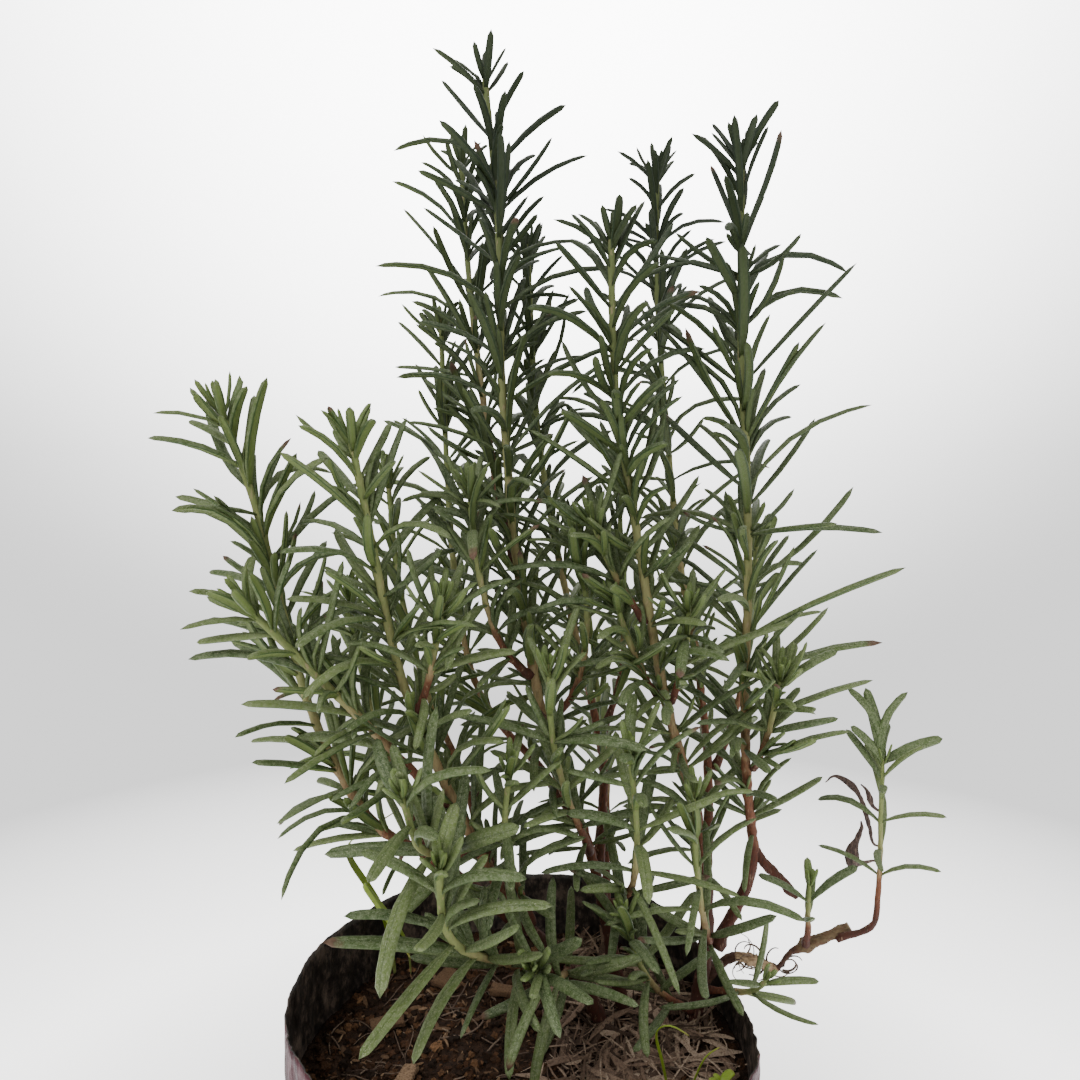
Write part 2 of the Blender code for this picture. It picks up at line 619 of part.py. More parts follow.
def lie_on_soil(item):
    """Turns and lifts a piece so that it rests on the soil's slope."""
    turn = math.radians(item.turn)
    ends = [(item.x + 0.5 * item.long * math.cos(turn) * side, item.y + 0.5 * item.long * math.sin(turn) * side)
            for side in (-1, 1)]
    heights = [soil_height(*end) for end in ends]
    tilt = math.atan2(heights[1] - heights[0], item.long)
    spots = [(item.x + (ends[1][0] - item.x) * s, item.y + (ends[1][1] - item.y) * s) for s in (-1, -0.5, 0, 0.5, 1)]
    lift = max(soil_height(*spot) - (heights[0] + heights[1]) / 2 for spot in spots[1:-1])
    height = (heights[0] + heights[1]) / 2 + max(lift, 0) + item.thick / 2 + item.wide * 0.12 + 1.0
    place = Matrix.Translation((item.x, item.y, height))
    return place @ Matrix.Rotation(turn, 4, "Z") @ Matrix.Rotation(-tilt, 4, "Y")


def wood_chip(item, name):
    bm = bmesh.new()
    bmesh.ops.create_cube(bm, size=1.0)
    bmesh.ops.scale(bm, vec=(item.long, item.wide, item.thick), verts=bm.verts)
    chance = random.Random(name)
    for vert in bm.verts:
        vert.co.x *= chance.uniform(0.75, 1.0)
        vert.co.y *= chance.uniform(0.7, 1.0)
    bmesh.ops.bevel(bm, geom=bm.edges[:], offset=0.35, segments=1, affect="EDGES", profile=0.5, material=-1)
    bmesh.ops.transform(bm, matrix=lie_on_soil(item), verts=bm.verts)
    return finish(bm, name, "chip")


def straw(item, name):
    """A thin, slightly bowed sliver of shredded straw."""
    bm = bmesh.new()
    bow = item.long * 0.05
    points = ((-item.long / 2, 0, 0), (-item.long / 6, bow, 0.4), (item.long / 6, bow, 0.4), (item.long / 2, 0, 0))
    route = Route(points, 0.0, Vector((0, 1, 0)))
    spots = [route.length * step / 4 for step in range(5)]
    shares = (0.55, 1.0, 0.9, 1.0, 0.4)
    rings = [ring_matrix(route, s, item.thick / 2 * share, item.wide / 2 * share) for s, share in zip(spots, shares)]
    edges = new_ring(bm, rings[0], 4)
    for old, new in zip(rings, rings[1:]):
        edges, _ = next_ring(bm, edges, old, new)
    bmesh.ops.holes_fill(bm, edges=[edge for edge in bm.edges if edge.is_boundary], sides=0)
    bmesh.ops.transform(bm, matrix=lie_on_soil(item), verts=bm.verts)
    return finish(bm, name, "straw")


def grass(blade, room):
    """A flat blade that rises, folds over and tapers to its end."""
    bm = bmesh.new()
    foot = Vector(blade.points[0])
    foot.z = soil_height(foot.x, foot.y) + 0.5
    route = Route((foot,) + blade.points[1:], 0.0, Vector((0.4, 1, 0)))
    spots = [route.length * step / 12 for step in range(13)]
    widths = [blade.width / 2 * (0.6 + 0.4 * math.sin(math.pi * min(0.5, step / 10))) for step in range(13)]
    widths = [wide * (1 - 0.85 * max(0, step - 7) / 5) for step, wide in enumerate(widths)]
    rings = [ring_matrix(route, s, blade.thick / 2, wide) for s, wide in zip(spots, widths)]
    edges = new_ring(bm, rings[0], 4)
    for old, new in zip(rings, rings[1:]):
        edges, _ = next_ring(bm, edges, old, new)
    bmesh.ops.holes_fill(bm, edges=[edge for edge in bm.edges if edge.is_boundary], sides=0)
    points = [vert.co.copy() for vert in bm.verts]
    room.add(BVHTree.FromBMesh(bm), points, blade.name)
    return finish(bm, blade.name, "grass")


def build():
    start_empty()
    bag()
    soil()
    room = Room()
    for number, item in enumerate(CHIPS, 1):
        wood_chip(item, f"wood_chip_{number}")
    for number, item in enumerate(STRAWS, 1):
        straw(item, f"straw_{number}")
    for blade in BLADES:
        grass(blade, room)
    routes = {}
    starts = {}
    for shoot in SHOOTS:
        points = [Vector(point) for point in shoot.points]
        if shoot.parent:
            parent_route = routes[shoot.parent]
            points[0] = parent_route.nearest(points[0])[1].copy()
        route = Route(points, random.Random(shoot.name).uniform(-0.004, 0.004))
        routes[shoot.name] = route
        starts[shoot.name] = 0.0
        if shoot.parent:
            parent = next(item for item in SHOOTS if item.name == shoot.parent)
            starts[shoot.name] = start_outside(shoot, route, parent, parent_route)
        room.add(*stem_shell(shoot, route, starts[shoot.name]), shoot.name)
    for shoot in SHOOTS:
        route = routes[shoot.name]
        start = starts[shoot.name]
        leaves, stations = plan_leaves(shoot, route, start, room)
        slot = "foliage" if stations else "bark"
        build_shoot(shoot, route, start, leaves, stations, slot)
    foot = Vector(SEEDLING.points[0])
    foot.z = soil_height(foot.x, foot.y) + 0.5
    route = Route((foot,) + SEEDLING.points[1:], 0.0)
    leaves, stations = plan_leaves(SEEDLING, route, 0.0, room)
    build_shoot(SEEDLING, route, 0.0, leaves, stations, "grass")


build()
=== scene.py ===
import math
import random
from collections import namedtuple

import bmesh
import bpy
from mathutils import Matrix, Vector, noise
from mathutils.bvhtree import BVHTree


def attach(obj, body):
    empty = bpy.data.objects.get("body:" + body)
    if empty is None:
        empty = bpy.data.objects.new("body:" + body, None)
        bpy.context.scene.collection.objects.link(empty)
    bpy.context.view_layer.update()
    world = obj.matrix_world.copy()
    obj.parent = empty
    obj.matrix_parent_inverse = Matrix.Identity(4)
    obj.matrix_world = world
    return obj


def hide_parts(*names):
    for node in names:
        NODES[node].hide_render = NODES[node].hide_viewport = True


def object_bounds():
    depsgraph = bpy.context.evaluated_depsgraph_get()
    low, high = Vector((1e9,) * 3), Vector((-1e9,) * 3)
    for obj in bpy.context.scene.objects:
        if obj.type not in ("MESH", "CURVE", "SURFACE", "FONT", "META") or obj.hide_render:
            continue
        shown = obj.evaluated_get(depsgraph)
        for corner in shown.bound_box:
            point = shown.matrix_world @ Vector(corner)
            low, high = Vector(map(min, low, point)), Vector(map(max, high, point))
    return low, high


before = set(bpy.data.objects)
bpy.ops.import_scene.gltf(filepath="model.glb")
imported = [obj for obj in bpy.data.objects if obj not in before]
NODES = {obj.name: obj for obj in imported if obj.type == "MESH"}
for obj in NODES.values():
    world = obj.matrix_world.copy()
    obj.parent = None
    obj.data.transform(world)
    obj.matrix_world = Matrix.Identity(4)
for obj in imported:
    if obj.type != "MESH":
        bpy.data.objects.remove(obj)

MM = 0.001
CAD_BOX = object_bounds()

# Camera: lens (mm), place (m) and how far it looks down (degrees)
LENS = 27.03
CAMERA_PLACE = (0.0055, -0.2464, 0.3225)
CAMERA_DOWN = 6.3

# Leaves: half of the outline, from the stem to the tip, and the section across
LEAF_STATIONS = (
    (0.0, 0.46), (0.08, 0.56), (0.22, 0.86), (0.45, 1.0), (0.68, 0.97), (0.86, 0.86), (0.94, 0.7),
    (0.985, 0.42),
)
LEAF_SECTION = (
    (-1.0, -0.16), (-0.9, 0.1), (-0.58, 0.32), (-0.16, 0.39), (0.0, 0.3), (0.16, 0.39), (0.58, 0.32),
    (0.9, 0.1), (1.0, -0.16), (0.74, -0.4), (0.36, -0.16), (0.0, -0.28), (-0.36, -0.16), (-0.74, -0.4),
)
SMALL_STATIONS = ((0.0, 0.5), (0.3, 0.95), (0.68, 1.0), (0.89, 0.8), (0.97, 0.48))
SMALL_SECTION = (
    (-1.0, -0.14), (-0.55, 0.3), (0.0, 0.26), (0.55, 0.3), (1.0, -0.14), (0.55, -0.38), (-0.55, -0.38),
)
# Where along a leaf its belly lies, and how far down its section the felted underside starts
BELLY_AT = 0.55
FELT_BELOW = -0.145
# The share of leaves with dry tips, and the least and most times its CAD length that a leaf gets
DRY_TIPS = 0.06
LONGER = (0.98, 1.26)
# How much thicker the upper leaves and the tufts are than the unit leaf
UPPER_LIFT = 1.3

# Between these heights (m) the leaves and stems get a painted shade that grows darker upwards, and the leaves
# turn a little slimmer
SHADE_FROM = 0.255
SHADE_TO = 0.4

# The left shoots get less of the painted shade, which grows to full between these places along X (m)
LIT_SIDE = -0.055
SHADY_SIDE = -0.012

# The trunks are barer below this height (m), and the leaves below it are darkened by a painted shade
TRUNKS_BELOW = 0.2

# The share of a shoot's leaves that have a tuft beside them, and how many leaves its end bud has
OPEN_SHOOT = (0.2, 4)
LOW_SHOOT = (0.42, 6)
FULL_SHOOT = (0.64, 10)

# Stems
STEM_SIDES = 10
STEM_STEP = 2.2 * MM
COLLAR_LENGTH = 2.5 * MM
ROOTED = ("shoot_left", "shoot_tall", "shoot_right")
# How woody the foot of a stem is
WOODY = 0.88
WOODIER = {"twig_creeping": 1.25, "sprig_creeping": 1.1}

# Bag: the film's thickness, and the radius inside which its foot stays flat
FILM_THICKNESS = 0.35 * MM
FLAT_FOOT = 60 * MM

# Soil and litter
SOIL_SIDES = 300
SOIL_RINGS = 58
SOIL_LEVEL = 119 * MM
LOWEST_SOIL = 80 * MM
SOIL_DEPTH = 14 * MM
SOIL_REACH = 71 * MM
CRUMBS = 6800
STRAWS = 1250
FLAKES = 620
ROOTS = 190
ROOTLETS = 34

# Creeping side and dead parts: (x, y, z, half width[, half thickness]), in mm
CREEPING_BRANCH = (
    (63, 22, 135, 1.9), (70, 23, 142, 1.6), (75, 22, 145, 1.5), (80, 21.5, 144, 1.9), (85, 21.5, 142, 1.8),
    (88.5, 21.5, 140.5, 1.4), (90.5, 21.5, 142.5, 0.9), (93, 21.2, 146.5, 0.9), (96, 21, 148.5, 1.5),
    (99, 21, 150, 2.5), (103, 21, 151.8, 2.1), (107.5, 21, 153.6, 2.0), (111, 21, 155, 2.3),
    (114, 21, 156.6, 2.0),
)
# Along X (m): the branch's rooty end, and its log, which ends in a cut face
ROOTY_END = (75 * MM, 89 * MM)
LOG = (96 * MM, 113.4 * MM)
DROOPING_STUB = (
    (78.5, 20, 187.5, 1.6), (83, 20, 181, 1.7), (88, 20.4, 175.5, 1.7), (92, 21, 171, 1.8),
    (95, 21, 168, 1.3),
)
DEAD_LEAVES = (
    ((124.2, 23.4, 185, 0.4, 0.35), (121.5, 23, 186.6, 0.5, 0.4), (119.6, 22, 193, 0.7, 0.3),
     (117.3, 21, 199.5, 0.9, 0.35), (115.2, 21, 204.7, 0.7, 0.4), (112.4, 21, 208.3, 1.3, 0.4),
     (109.2, 21, 210.6, 0.9, 0.3), (106.2, 21, 211.6, 0.5, 0.25), (103.4, 21, 209.4, 0.2, 0.15)),
    ((124.6, 23.4, 179, 0.4, 0.3), (122.0, 23, 180, 0.5, 0.3), (117.6, 22, 179.6, 1.2, 0.4),
     (114.3, 21, 180.6, 2.6, 0.7), (113.6, 21, 184.6, 2.3, 0.6), (115.0, 21, 188.6, 1.1, 0.4),
     (116.5, 21, 192.8, 0.7, 0.3), (116.2, 21, 195.4, 0.25, 0.2)),
    ((123.8, 23.2, 197.6, 0.4, 0.35), (121.0, 23, 199.8, 0.6, 0.4), (119.4, 22, 203.0, 1.1, 0.4),
     (118.2, 22, 206.0, 0.6, 0.3), (116.0, 22, 208.2, 0.2, 0.15)),
)
# (x, y, z) from the twig's end to the leaf's tip and the half width, in mm, and how much the leaf bows
TWIG_TIP_LEAVES = (
    (-12.8, 0.0, 25.0, 1.5, 0.14), (-11.5, -1.0, 12.5, 1.5, 0.06), (-6.0, 2.0, 24.5, 2.1, 0.03),
    (6.6, -1.0, 24.0, 1.5, -0.16), (18.5, -1.5, 8.5, 1.9, -0.05), (3.0, 3.0, 12.0, 1.4, -0.1),
)
SEEDLING_STALK = ((60, -16, 117.5, 0.55), (60, -17, 124, 0.5), (61, -18, 130.5, 0.4))

# Studio: the wall's brightness as the camera sees it and as the plant gets it, and the floor's painted glow,
# which is dimmer near the plant as a painted shadow
WALL_SEEN = 4.6
WALL_CAST = 0.72
FLOOR_GLOW = 2.6
FLOOR_RADIUS = 0.7
# name, place, the place that it points at, diameter (m) and power (W)
LIGHTS = (
    ("key_light", (-0.9, -1.1, 1.7), (0.0, 0.0, 0.2), 1.1, 26.0),
    ("fill_light", (1.3, -0.6, 1.1), (0.0, 0.0, 0.2), 1.2, 6.5),
    ("back_light", (0.2, 1.3, 1.4), (0.0, 0.0, 0.25), 1.0, 10.0),
)


# ---- materials ----

class Nodes:
    """A node tree: nodes are added one by one and wired as they are made."""

    def __init__(self, tree):
        self.tree = tree

    def add(self, kind, wires=None, **settings):
        node = self.tree.nodes.new(kind)
        for key, value in settings.items():
            setattr(node, key, value)
        for key, value in (wires or {}).items():
            self.wire(value, node.inputs[key])
        return node

    def wire(self, value, socket):
        if isinstance(value, bpy.types.NodeSocket):
            self.tree.links.new(value, socket)
        else:
            socket.default_value = value

    def place(self):
        return self.add("ShaderNodeTexCoord").outputs["Object"]

    def parts(self, vector):
        return self.add("ShaderNodeSeparateXYZ", {0: vector}).outputs

    def read(self, name):
        """The three values of a mesh attribute."""
        return self.parts(self.add("ShaderNodeAttribute", attribute_name=name).outputs["Vector"])

    def joined(self, x, y, z):
        return self.add("ShaderNodeCombineXYZ", {0: x, 1: y, 2: z}).outputs[0]

    def stretched(self, vector, scale):
        return self.add("ShaderNodeMapping", {"Vector": vector, "Scale": scale}).outputs[0]

    def noise(self, vector, scale, detail=3.0, rough=0.55):
        wires = {"Vector": vector, "Scale": scale, "Detail": detail, "Roughness": rough}
        return self.add("ShaderNodeTexNoise", wires).outputs[0]

    def cells(self, vector, scale, output="Distance"):
        return self.add("ShaderNodeTexVoronoi", {"Vector": vector, "Scale": scale}).outputs[output]

    def ramp(self, value, *stops):
        node = self.add("ShaderNodeValToRGB", {"Fac": value})
        points = node.color_ramp.elements
        while len(points) < len(stops):
            points.new(0.5)
        for point, (at, colour) in zip(points, stops):
            point.position = at
            point.color = (*colour, 1.0)
        return node.outputs["Color"]

    def span(self, value, low, high, to_low=0.0, to_high=1.0):
        wires = {"Value": value, "From Min": low, "From Max": high, "To Min": to_low, "To Max": to_high}
        return self.add("ShaderNodeMapRange", wires).outputs[0]

    def math(self, operation, one, other=0.0):
        return self.add("ShaderNodeMath", {0: one, 1: other}, operation=operation).outputs[0]

    def times(self, one, other):
        return self.math("MULTIPLY", one, other)

    def mix(self, share, one, other):
        node = self.add("ShaderNodeMix", data_type="RGBA")
        for index, value in ((0, share), (6, one), (7, other)):
            if isinstance(value, tuple):
                value = (*value, 1.0)
            self.wire(value, node.inputs[index])
        return node.outputs[2]

    def bump(self, height, strength, distance, under=None):
        wires = {"Height": height, "Strength": strength, "Distance": distance}
        if under is not None:
            wires["Normal"] = under
        return self.add("ShaderNodeBump", wires).outputs[0]


class Look(Nodes):
    """A procedural material around one Principled BSDF."""

    def __init__(self, name, **uniform):
        self.material = bpy.data.materials.new(name)
        self.material.use_nodes = True
        super().__init__(self.material.node_tree)
        self.shader = self.tree.nodes["Principled BSDF"]
        self.use(**uniform)

    def painted_shade_share(self, place):
        """How much painted shade there is here: more with height, and less on the left shoots."""
        sideways, _, height = self.parts(place)
        lit = self.span(sideways, LIT_SIDE, SHADY_SIDE, 0.15, 1.0)
        return self.times(self.span(height, SHADE_FROM, SHADE_TO), lit)

    def use(self, **sockets):
        """Wires or sets the shader's inputs, and returns the material."""
        for key, value in sockets.items():
            self.wire(value, self.shader.inputs[key.replace("_", " ")])
        return self.material


def leaf_look():
    """Leathery leaf: a grooved green top with fine pale flecks that are partly painted highlight, a paler
    felted underside, some dry tips, and painted shade that grows with height.
    """
    look = Look("rosemary_leaf", IOR=1.45, Specular_IOR_Level=0.35)
    across, along, under = look.read("leaf_place")
    tone, young, dry = look.read("leaf_kind")
    place = look.place()
    # the top: deep to mid green, by leaf and in soft patches; each leaf's tone also carries the painted shade
    # of high and low leaves
    patches = look.noise(place, 160.0, 2.0)
    mood = look.math("ADD", look.times(tone, 0.75), look.times(patches, 0.35))
    top = look.ramp(mood, (0.12, (0.018, 0.042, 0.012)), (0.5, (0.052, 0.089, 0.02)),
                    (0.95, (0.125, 0.172, 0.048)))
    # painted shade: the top turns darker with height, less on the left shoots, and the young leaves' fresh
    # green fades under it
    high = look.painted_shade_share(place)
    top = look.mix(look.times(high, 0.88), top, (0.0075, 0.015, 0.01))
    top = look.mix(look.times(look.times(young, 0.6), look.math("SUBTRACT", 1.0, high)), top,
                   (0.17, 0.27, 0.04))
    # pale flecks in broken rows along the leaf, thickest beside the groove: partly the leaf's own flecks,
    # partly a painted highlight
    rows = look.joined(look.times(across, 6.0), look.times(along, 26.0), look.times(tone, 50.0))
    flecks = look.span(look.noise(rows, 1.6, 3.0, 0.7), 0.47, 0.64)
    grain = look.span(look.noise(place, 2600.0, 2.0), 0.42, 0.6)
    beside = look.math("ABSOLUTE", across)
    middle = look.span(beside, 0.0, 0.95, 1.0, 0.3)
    pale = look.times(look.times(flecks, grain), middle)
    # fewer flecks and less dust where the painted shade is darkest
    out_of_painted_shade = look.span(high, 0.0, 1.0, 1.0, 0.25)
    top = look.mix(look.times(look.times(pale, 0.8), out_of_painted_shade), top, (0.44, 0.46, 0.3))
    dust = look.times(look.span(look.noise(place, 900.0, 2.0), 0.36, 0.7), 0.36)
    top = look.mix(look.times(dust, out_of_painted_shade), top, (0.27, 0.3, 0.19))
    # painted shade along the sunken midrib groove
    groove = look.span(beside, 0.02, 0.14, 1.0, 0.0)
    top = look.mix(look.times(groove, 0.35), top, (0.028, 0.056, 0.016))
    # the underside: felted olive between a raised midrib and rolled green margins
    felt = look.mix(look.noise(place, 1400.0, 3.0), (0.11, 0.155, 0.04), (0.18, 0.225, 0.08))
    rib = look.span(beside, 0.04, 0.2, 1.0, 0.0)
    below = look.mix(look.times(rib, 0.6), felt, (0.13, 0.2, 0.035))
    margin = look.span(beside, 0.5, 0.72)
    below = look.mix(margin, below, (0.04, 0.082, 0.02))
    # painted shade on the underside too, darker with height
    below = look.mix(look.times(high, 0.84), below, (0.013, 0.023, 0.014))
    colour = look.mix(look.span(under, 0.35, 0.65), top, below)
    # dry brown tips
    edge = look.math("ADD", along, look.times(look.noise(place, 500.0), 0.12))
    browned = look.times(look.span(edge, 0.93, 1.0), look.span(dry, 0.25, 0.35))
    brown = look.mix(look.noise(place, 700.0), (0.045, 0.026, 0.02), (0.17, 0.1, 0.06))
    colour = look.mix(browned, colour, brown)
    rough = look.span(look.noise(place, 1200.0, 2.0), 0.3, 0.7, 0.42, 0.66)
    pits = look.bump(look.noise(place, 3200.0, 2.0), 0.35, 0.00025)
    ridges = look.bump(flecks, 0.25, 0.0002, pits)
    return look.use(Base_Color=colour, Roughness=rough, Normal=ridges)


def bark_look():
    """Stem skin: yellow-green and downy when young, then tan, then red-brown bark with pale cracks, under a
    painted shade higher up.
    """
    look = Look("rosemary_bark", Specular_IOR_Level=0.3)
    age = look.read("stem_kind")[0]
    place = look.place()
    streaks = look.noise(look.stretched(place, (1.0, 1.0, 0.16)), 1500.0, 4.0, 0.65)
    blotch = look.noise(place, 240.0, 3.0)
    ripe = look.math("ADD", age, look.times(look.math("SUBTRACT", blotch, 0.5), 0.35))
    colour = look.ramp(ripe, (0.0, (0.2, 0.25, 0.085)), (0.2, (0.32, 0.325, 0.135)),
                       (0.4, (0.36, 0.265, 0.135)), (0.58, (0.2, 0.08, 0.042)),
                       (0.8, (0.12, 0.04, 0.024)), (1.0, (0.075, 0.026, 0.018)))
    # painted shade: the stems turn darker with height, less on the left shoots, as the leaves do
    colour = look.mix(look.times(look.painted_shade_share(place), 0.6), colour, (0.07, 0.085, 0.036))
    cracks = look.span(streaks, 0.4, 0.52, 1.0, 0.0)
    cracked = look.times(cracks, look.span(age, 0.2, 0.9, 0.15, 0.75))
    colour = look.mix(cracked, colour, (0.05, 0.024, 0.016))
    pale = look.span(look.noise(look.stretched(place, (1.0, 1.0, 0.3)), 900.0, 3.0), 0.6, 0.7)
    colour = look.mix(look.times(pale, 0.5), colour, (0.42, 0.3, 0.2))
    height = look.math("ADD", streaks, look.times(blotch, 0.4))
    normal = look.bump(height, 0.6, 0.0006)
    rough = look.span(streaks, 0.3, 0.7, 0.62, 0.9)
    return look.use(Base_Color=colour, Roughness=rough, Normal=normal)


def creeping_wood_look():
    """The creeping branch: a tan rooty end, a dark thin neck and an olive-brown knobbly log."""
    look = Look("creeping_wood", Specular_IOR_Level=0.25)
    zone = look.read("stem_kind")[0]
    place = look.place()
    grain = look.noise(look.stretched(place, (0.22, 1.0, 1.0)), 1300.0, 4.0, 0.65)
    blotch = look.noise(place, 420.0, 3.0)
    skin = look.ramp(zone, (0.0, (0.46, 0.33, 0.2)), (0.35, (0.33, 0.21, 0.125)),
                     (0.55, (0.07, 0.034, 0.026)), (0.8, (0.155, 0.11, 0.06)), (1.0, (0.42, 0.33, 0.22)))
    colour = look.mix(look.span(grain, 0.36, 0.52, 0.75, 0.0), skin, (0.05, 0.026, 0.018))
    colour = look.mix(look.span(blotch, 0.5, 0.62, 0.0, 0.6), colour, (0.125, 0.062, 0.036))
    normal = look.bump(look.math("ADD", grain, blotch), 0.8, 0.0007)
    return look.use(Base_Color=colour, Roughness=0.85, Normal=normal)


def dead_leaf_look():
    """Leaves that have dried on the twig: curled, purple-brown, with pale ribs."""
    look = Look("dead_leaf", Specular_IOR_Level=0.3)
    place = look.place()
    grain = look.noise(look.stretched(place, (1.0, 1.0, 0.3)), 1600.0, 4.0, 0.6)
    colour = look.ramp(grain, (0.3, (0.022, 0.013, 0.011)), (0.52, (0.07, 0.042, 0.035)),
                       (0.75, (0.2, 0.14, 0.11)))
    return look.use(Base_Color=colour, Roughness=0.72, Normal=look.bump(grain, 0.7, 0.0004))


def soil_look():
    """Dark potting mix, full of crumbs."""
    look = Look("potting_mix", Specular_IOR_Level=0.2)
    place = look.place()
    clods = look.noise(place, 190.0, 5.0, 0.65)
    grey = look.parts(look.cells(place, 520.0, "Color"))[0]
    colour = look.ramp(clods, (0.3, (0.0085, 0.005, 0.0035)), (0.52, (0.03, 0.0155, 0.009)),
                       (0.72, (0.085, 0.043, 0.024)))
    colour = look.mix(look.times(grey, 0.45), colour, (0.06, 0.03, 0.017))
    normal = look.bump(look.noise(place, 900.0, 5.0, 0.7), 1.0, 0.0016)
    normal = look.bump(look.cells(place, 420.0), 0.7, 0.0016, normal)
    return look.use(Base_Color=colour, Roughness=0.95, Normal=normal)


def bits_look(name, dark, mid, pale):
    """Loose bits on the soil, each with its own tone, fibrous and matte."""
    look = Look(name, Specular_IOR_Level=0.2)
    tone = look.read("bit_kind")[0]
    grain = look.noise(look.place(), 1500.0, 4.0, 0.65)
    mood = look.math("ADD", look.times(tone, 0.8), look.times(grain, 0.3))
    colour = look.ramp(mood, (0.15, dark), (0.6, mid), (1.0, pale))
    colour = look.mix(look.span(grain, 0.35, 0.5, 0.6, 0.0), colour, dark)
    normal = look.bump(grain, 0.8, 0.0006)
    return look.use(Base_Color=colour, Roughness=0.9, Normal=normal)


def film_look(outside):
    """Nursery bag film: black and dusty inside, dull maroon pink outside, creased all over."""
    name, shine = ("bag_film_outside", 0.2) if outside else ("bag_film_inside", 0.5)
    look = Look(name, Specular_IOR_Level=shine)
    place = look.place()
    mottle = look.noise(look.stretched(place, (1.0, 1.0, 0.7)), 150.0, 7.0, 0.72)
    fine = look.noise(look.stretched(place, (1.0, 1.0, 0.5)), 800.0, 5.0, 0.7)
    if outside:
        colour = look.ramp(mottle, (0.3, (0.018, 0.004, 0.007)), (0.5, (0.058, 0.01, 0.018)),
                           (0.76, (0.13, 0.04, 0.054)))
        colour = look.mix(look.span(fine, 0.52, 0.7, 0.0, 0.5), colour, (0.03, 0.016, 0.018))
    else:
        colour = look.ramp(mottle, (0.38, (0.004, 0.0035, 0.0035)), (0.5, (0.018, 0.0135, 0.012)),
                           (0.62, (0.11, 0.082, 0.066)))
        dusty = look.times(look.span(fine, 0.46, 0.64), look.span(mottle, 0.44, 0.6, 0.15, 0.75))
        colour = look.mix(dusty, colour, (0.17, 0.128, 0.102))
    rough = look.span(fine, 0.3, 0.7, 0.34, 0.72)
    creases = look.noise(look.stretched(place, (1.0, 1.0, 0.35)), 60.0, 6.0, 0.62)
    normal = look.bump(creases, 0.55, 0.004)
    normal = look.bump(fine, 0.35, 0.0006, normal)
    return look.use(Base_Color=colour, Roughness=rough, Normal=normal)


def grass_look():
    """Lime green blades with fine veins along them."""
    look = Look("weed_grass", Specular_IOR_Level=0.4)
    across, along, _ = look.read("leaf_place")
    lines = look.noise(look.joined(look.times(across, 14.0), along, 0.0), 1.4, 2.0)
    colour = look.ramp(along, (0.0, (0.3, 0.34, 0.12)), (0.25, (0.2, 0.29, 0.022)),
                       (0.85, (0.24, 0.33, 0.03)), (1.0, (0.3, 0.26, 0.06)))
    colour = look.mix(look.span(lines, 0.4, 0.6, 0.0, 0.4), colour, (0.12, 0.2, 0.015))
    normal = look.bump(lines, 0.4, 0.0003)
    return look.use(Base_Color=colour, Roughness=0.45, Normal=normal)


# ---- pieces ----

def placed(name, data):
    """A new object in the scene."""
    made = bpy.data.objects.new(name, data)
    bpy.context.scene.collection.objects.link(made)
    return made


def clamped(value):
    return min(1.0, max(0.0, value))


def mark_all(verts, layer, value):
    """Gives each point this value in the first place of its vector."""
    for vert in verts:
        vert[layer] = (value, 0.0, 0.0)


def add_piece(name, bm, looks, replaced=(), smooth=True):
    """Makes the mesh an object that rides on the plant's one body."""
    mesh = bpy.data.meshes.new(name)
    bm.to_mesh(mesh)
    bm.free()
    for look in looks:
        mesh.materials.append(look)
    if smooth:
        mesh.shade_smooth()
    made = placed(name, mesh)
    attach(made, "root")
    if replaced:
        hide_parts(*replaced)
    return made


def merged(name):
    """A merged copy of a CAD node's mesh."""
    bm = bmesh.new()
    bm.from_mesh(NODES[name].data)
    bmesh.ops.remove_doubles(bm, verts=bm.verts, dist=0.02 * MM)
    return bm


def mean(vectors):
    vectors = list(vectors)
    return sum(vectors, Vector()) / len(vectors)


def in_order(verts):
    """These points in an order that is the same each time."""
    return sorted(verts, key=lambda vert: vert.co[:])


def open_edges(items):
    return [item for item in items if isinstance(item, bmesh.types.BMEdge) and item.is_boundary]


def points_of(items):
    return [item for item in items if isinstance(item, bmesh.types.BMVert)]


# ---- reading the CAD shoots ----

LeafSpot = namedtuple("LeafSpot", "root belly tip across over half")
Ring = namedtuple("Ring", "centre radius wide side")


def read_leaf(tip):
    """Root, belly and tip of one faceted leaf, with the directions across and over it."""
    belly = [edge.other_vert(tip) for edge in tip.link_edges]
    roots = {edge.other_vert(vert) for vert in belly for edge in vert.link_edges} - set(belly) - {tip}
    corner = belly[0]
    thick, wide = sorted((vert.co - corner.co for vert in belly[1:]), key=lambda side: side.length)[:2]
    across = wide.normalized()
    root = mean(vert.co for vert in in_order(roots))
    ahead = (tip.co - root).normalized()
    over = across.cross(ahead).normalized()
    spot = LeafSpot(root, mean(vert.co for vert in belly), tip.co.copy(), across, over, wide.length / 2)
    return spot, belly


def flat_ends(vert):
    """The flat faces of 4 or 8 points that this point belongs to, as sets of points."""
    found = []
    for first in vert.link_faces:
        cap = {first}
        grown = True
        while grown:
            grown = {other for face in cap for edge in face.edges for other in edge.link_faces
                     if other not in cap and other.normal.angle(first.normal, 3.0) < 0.3}
            cap |= grown
        points = {point for face in cap for point in face.verts}
        if len(points) in (4, 8) and len(cap) == len(points) - 2:
            found.append(points)
    return found


def walk_rings(cap):
    """The sections met one after another, starting from this cap."""
    walk = []
    ring = cap
    seen = set(ring)
    while ring:
        walk.append(in_order(ring))
        ring = {edge.other_vert(vert) for vert in ring for edge in vert.link_edges} - seen
        seen |= ring
    return walk


def spread(verts):
    """How far a ring's points lie from their centre, together."""
    centre = mean(vert.co for vert in verts)
    return sum((vert.co - centre).length for vert in verts)


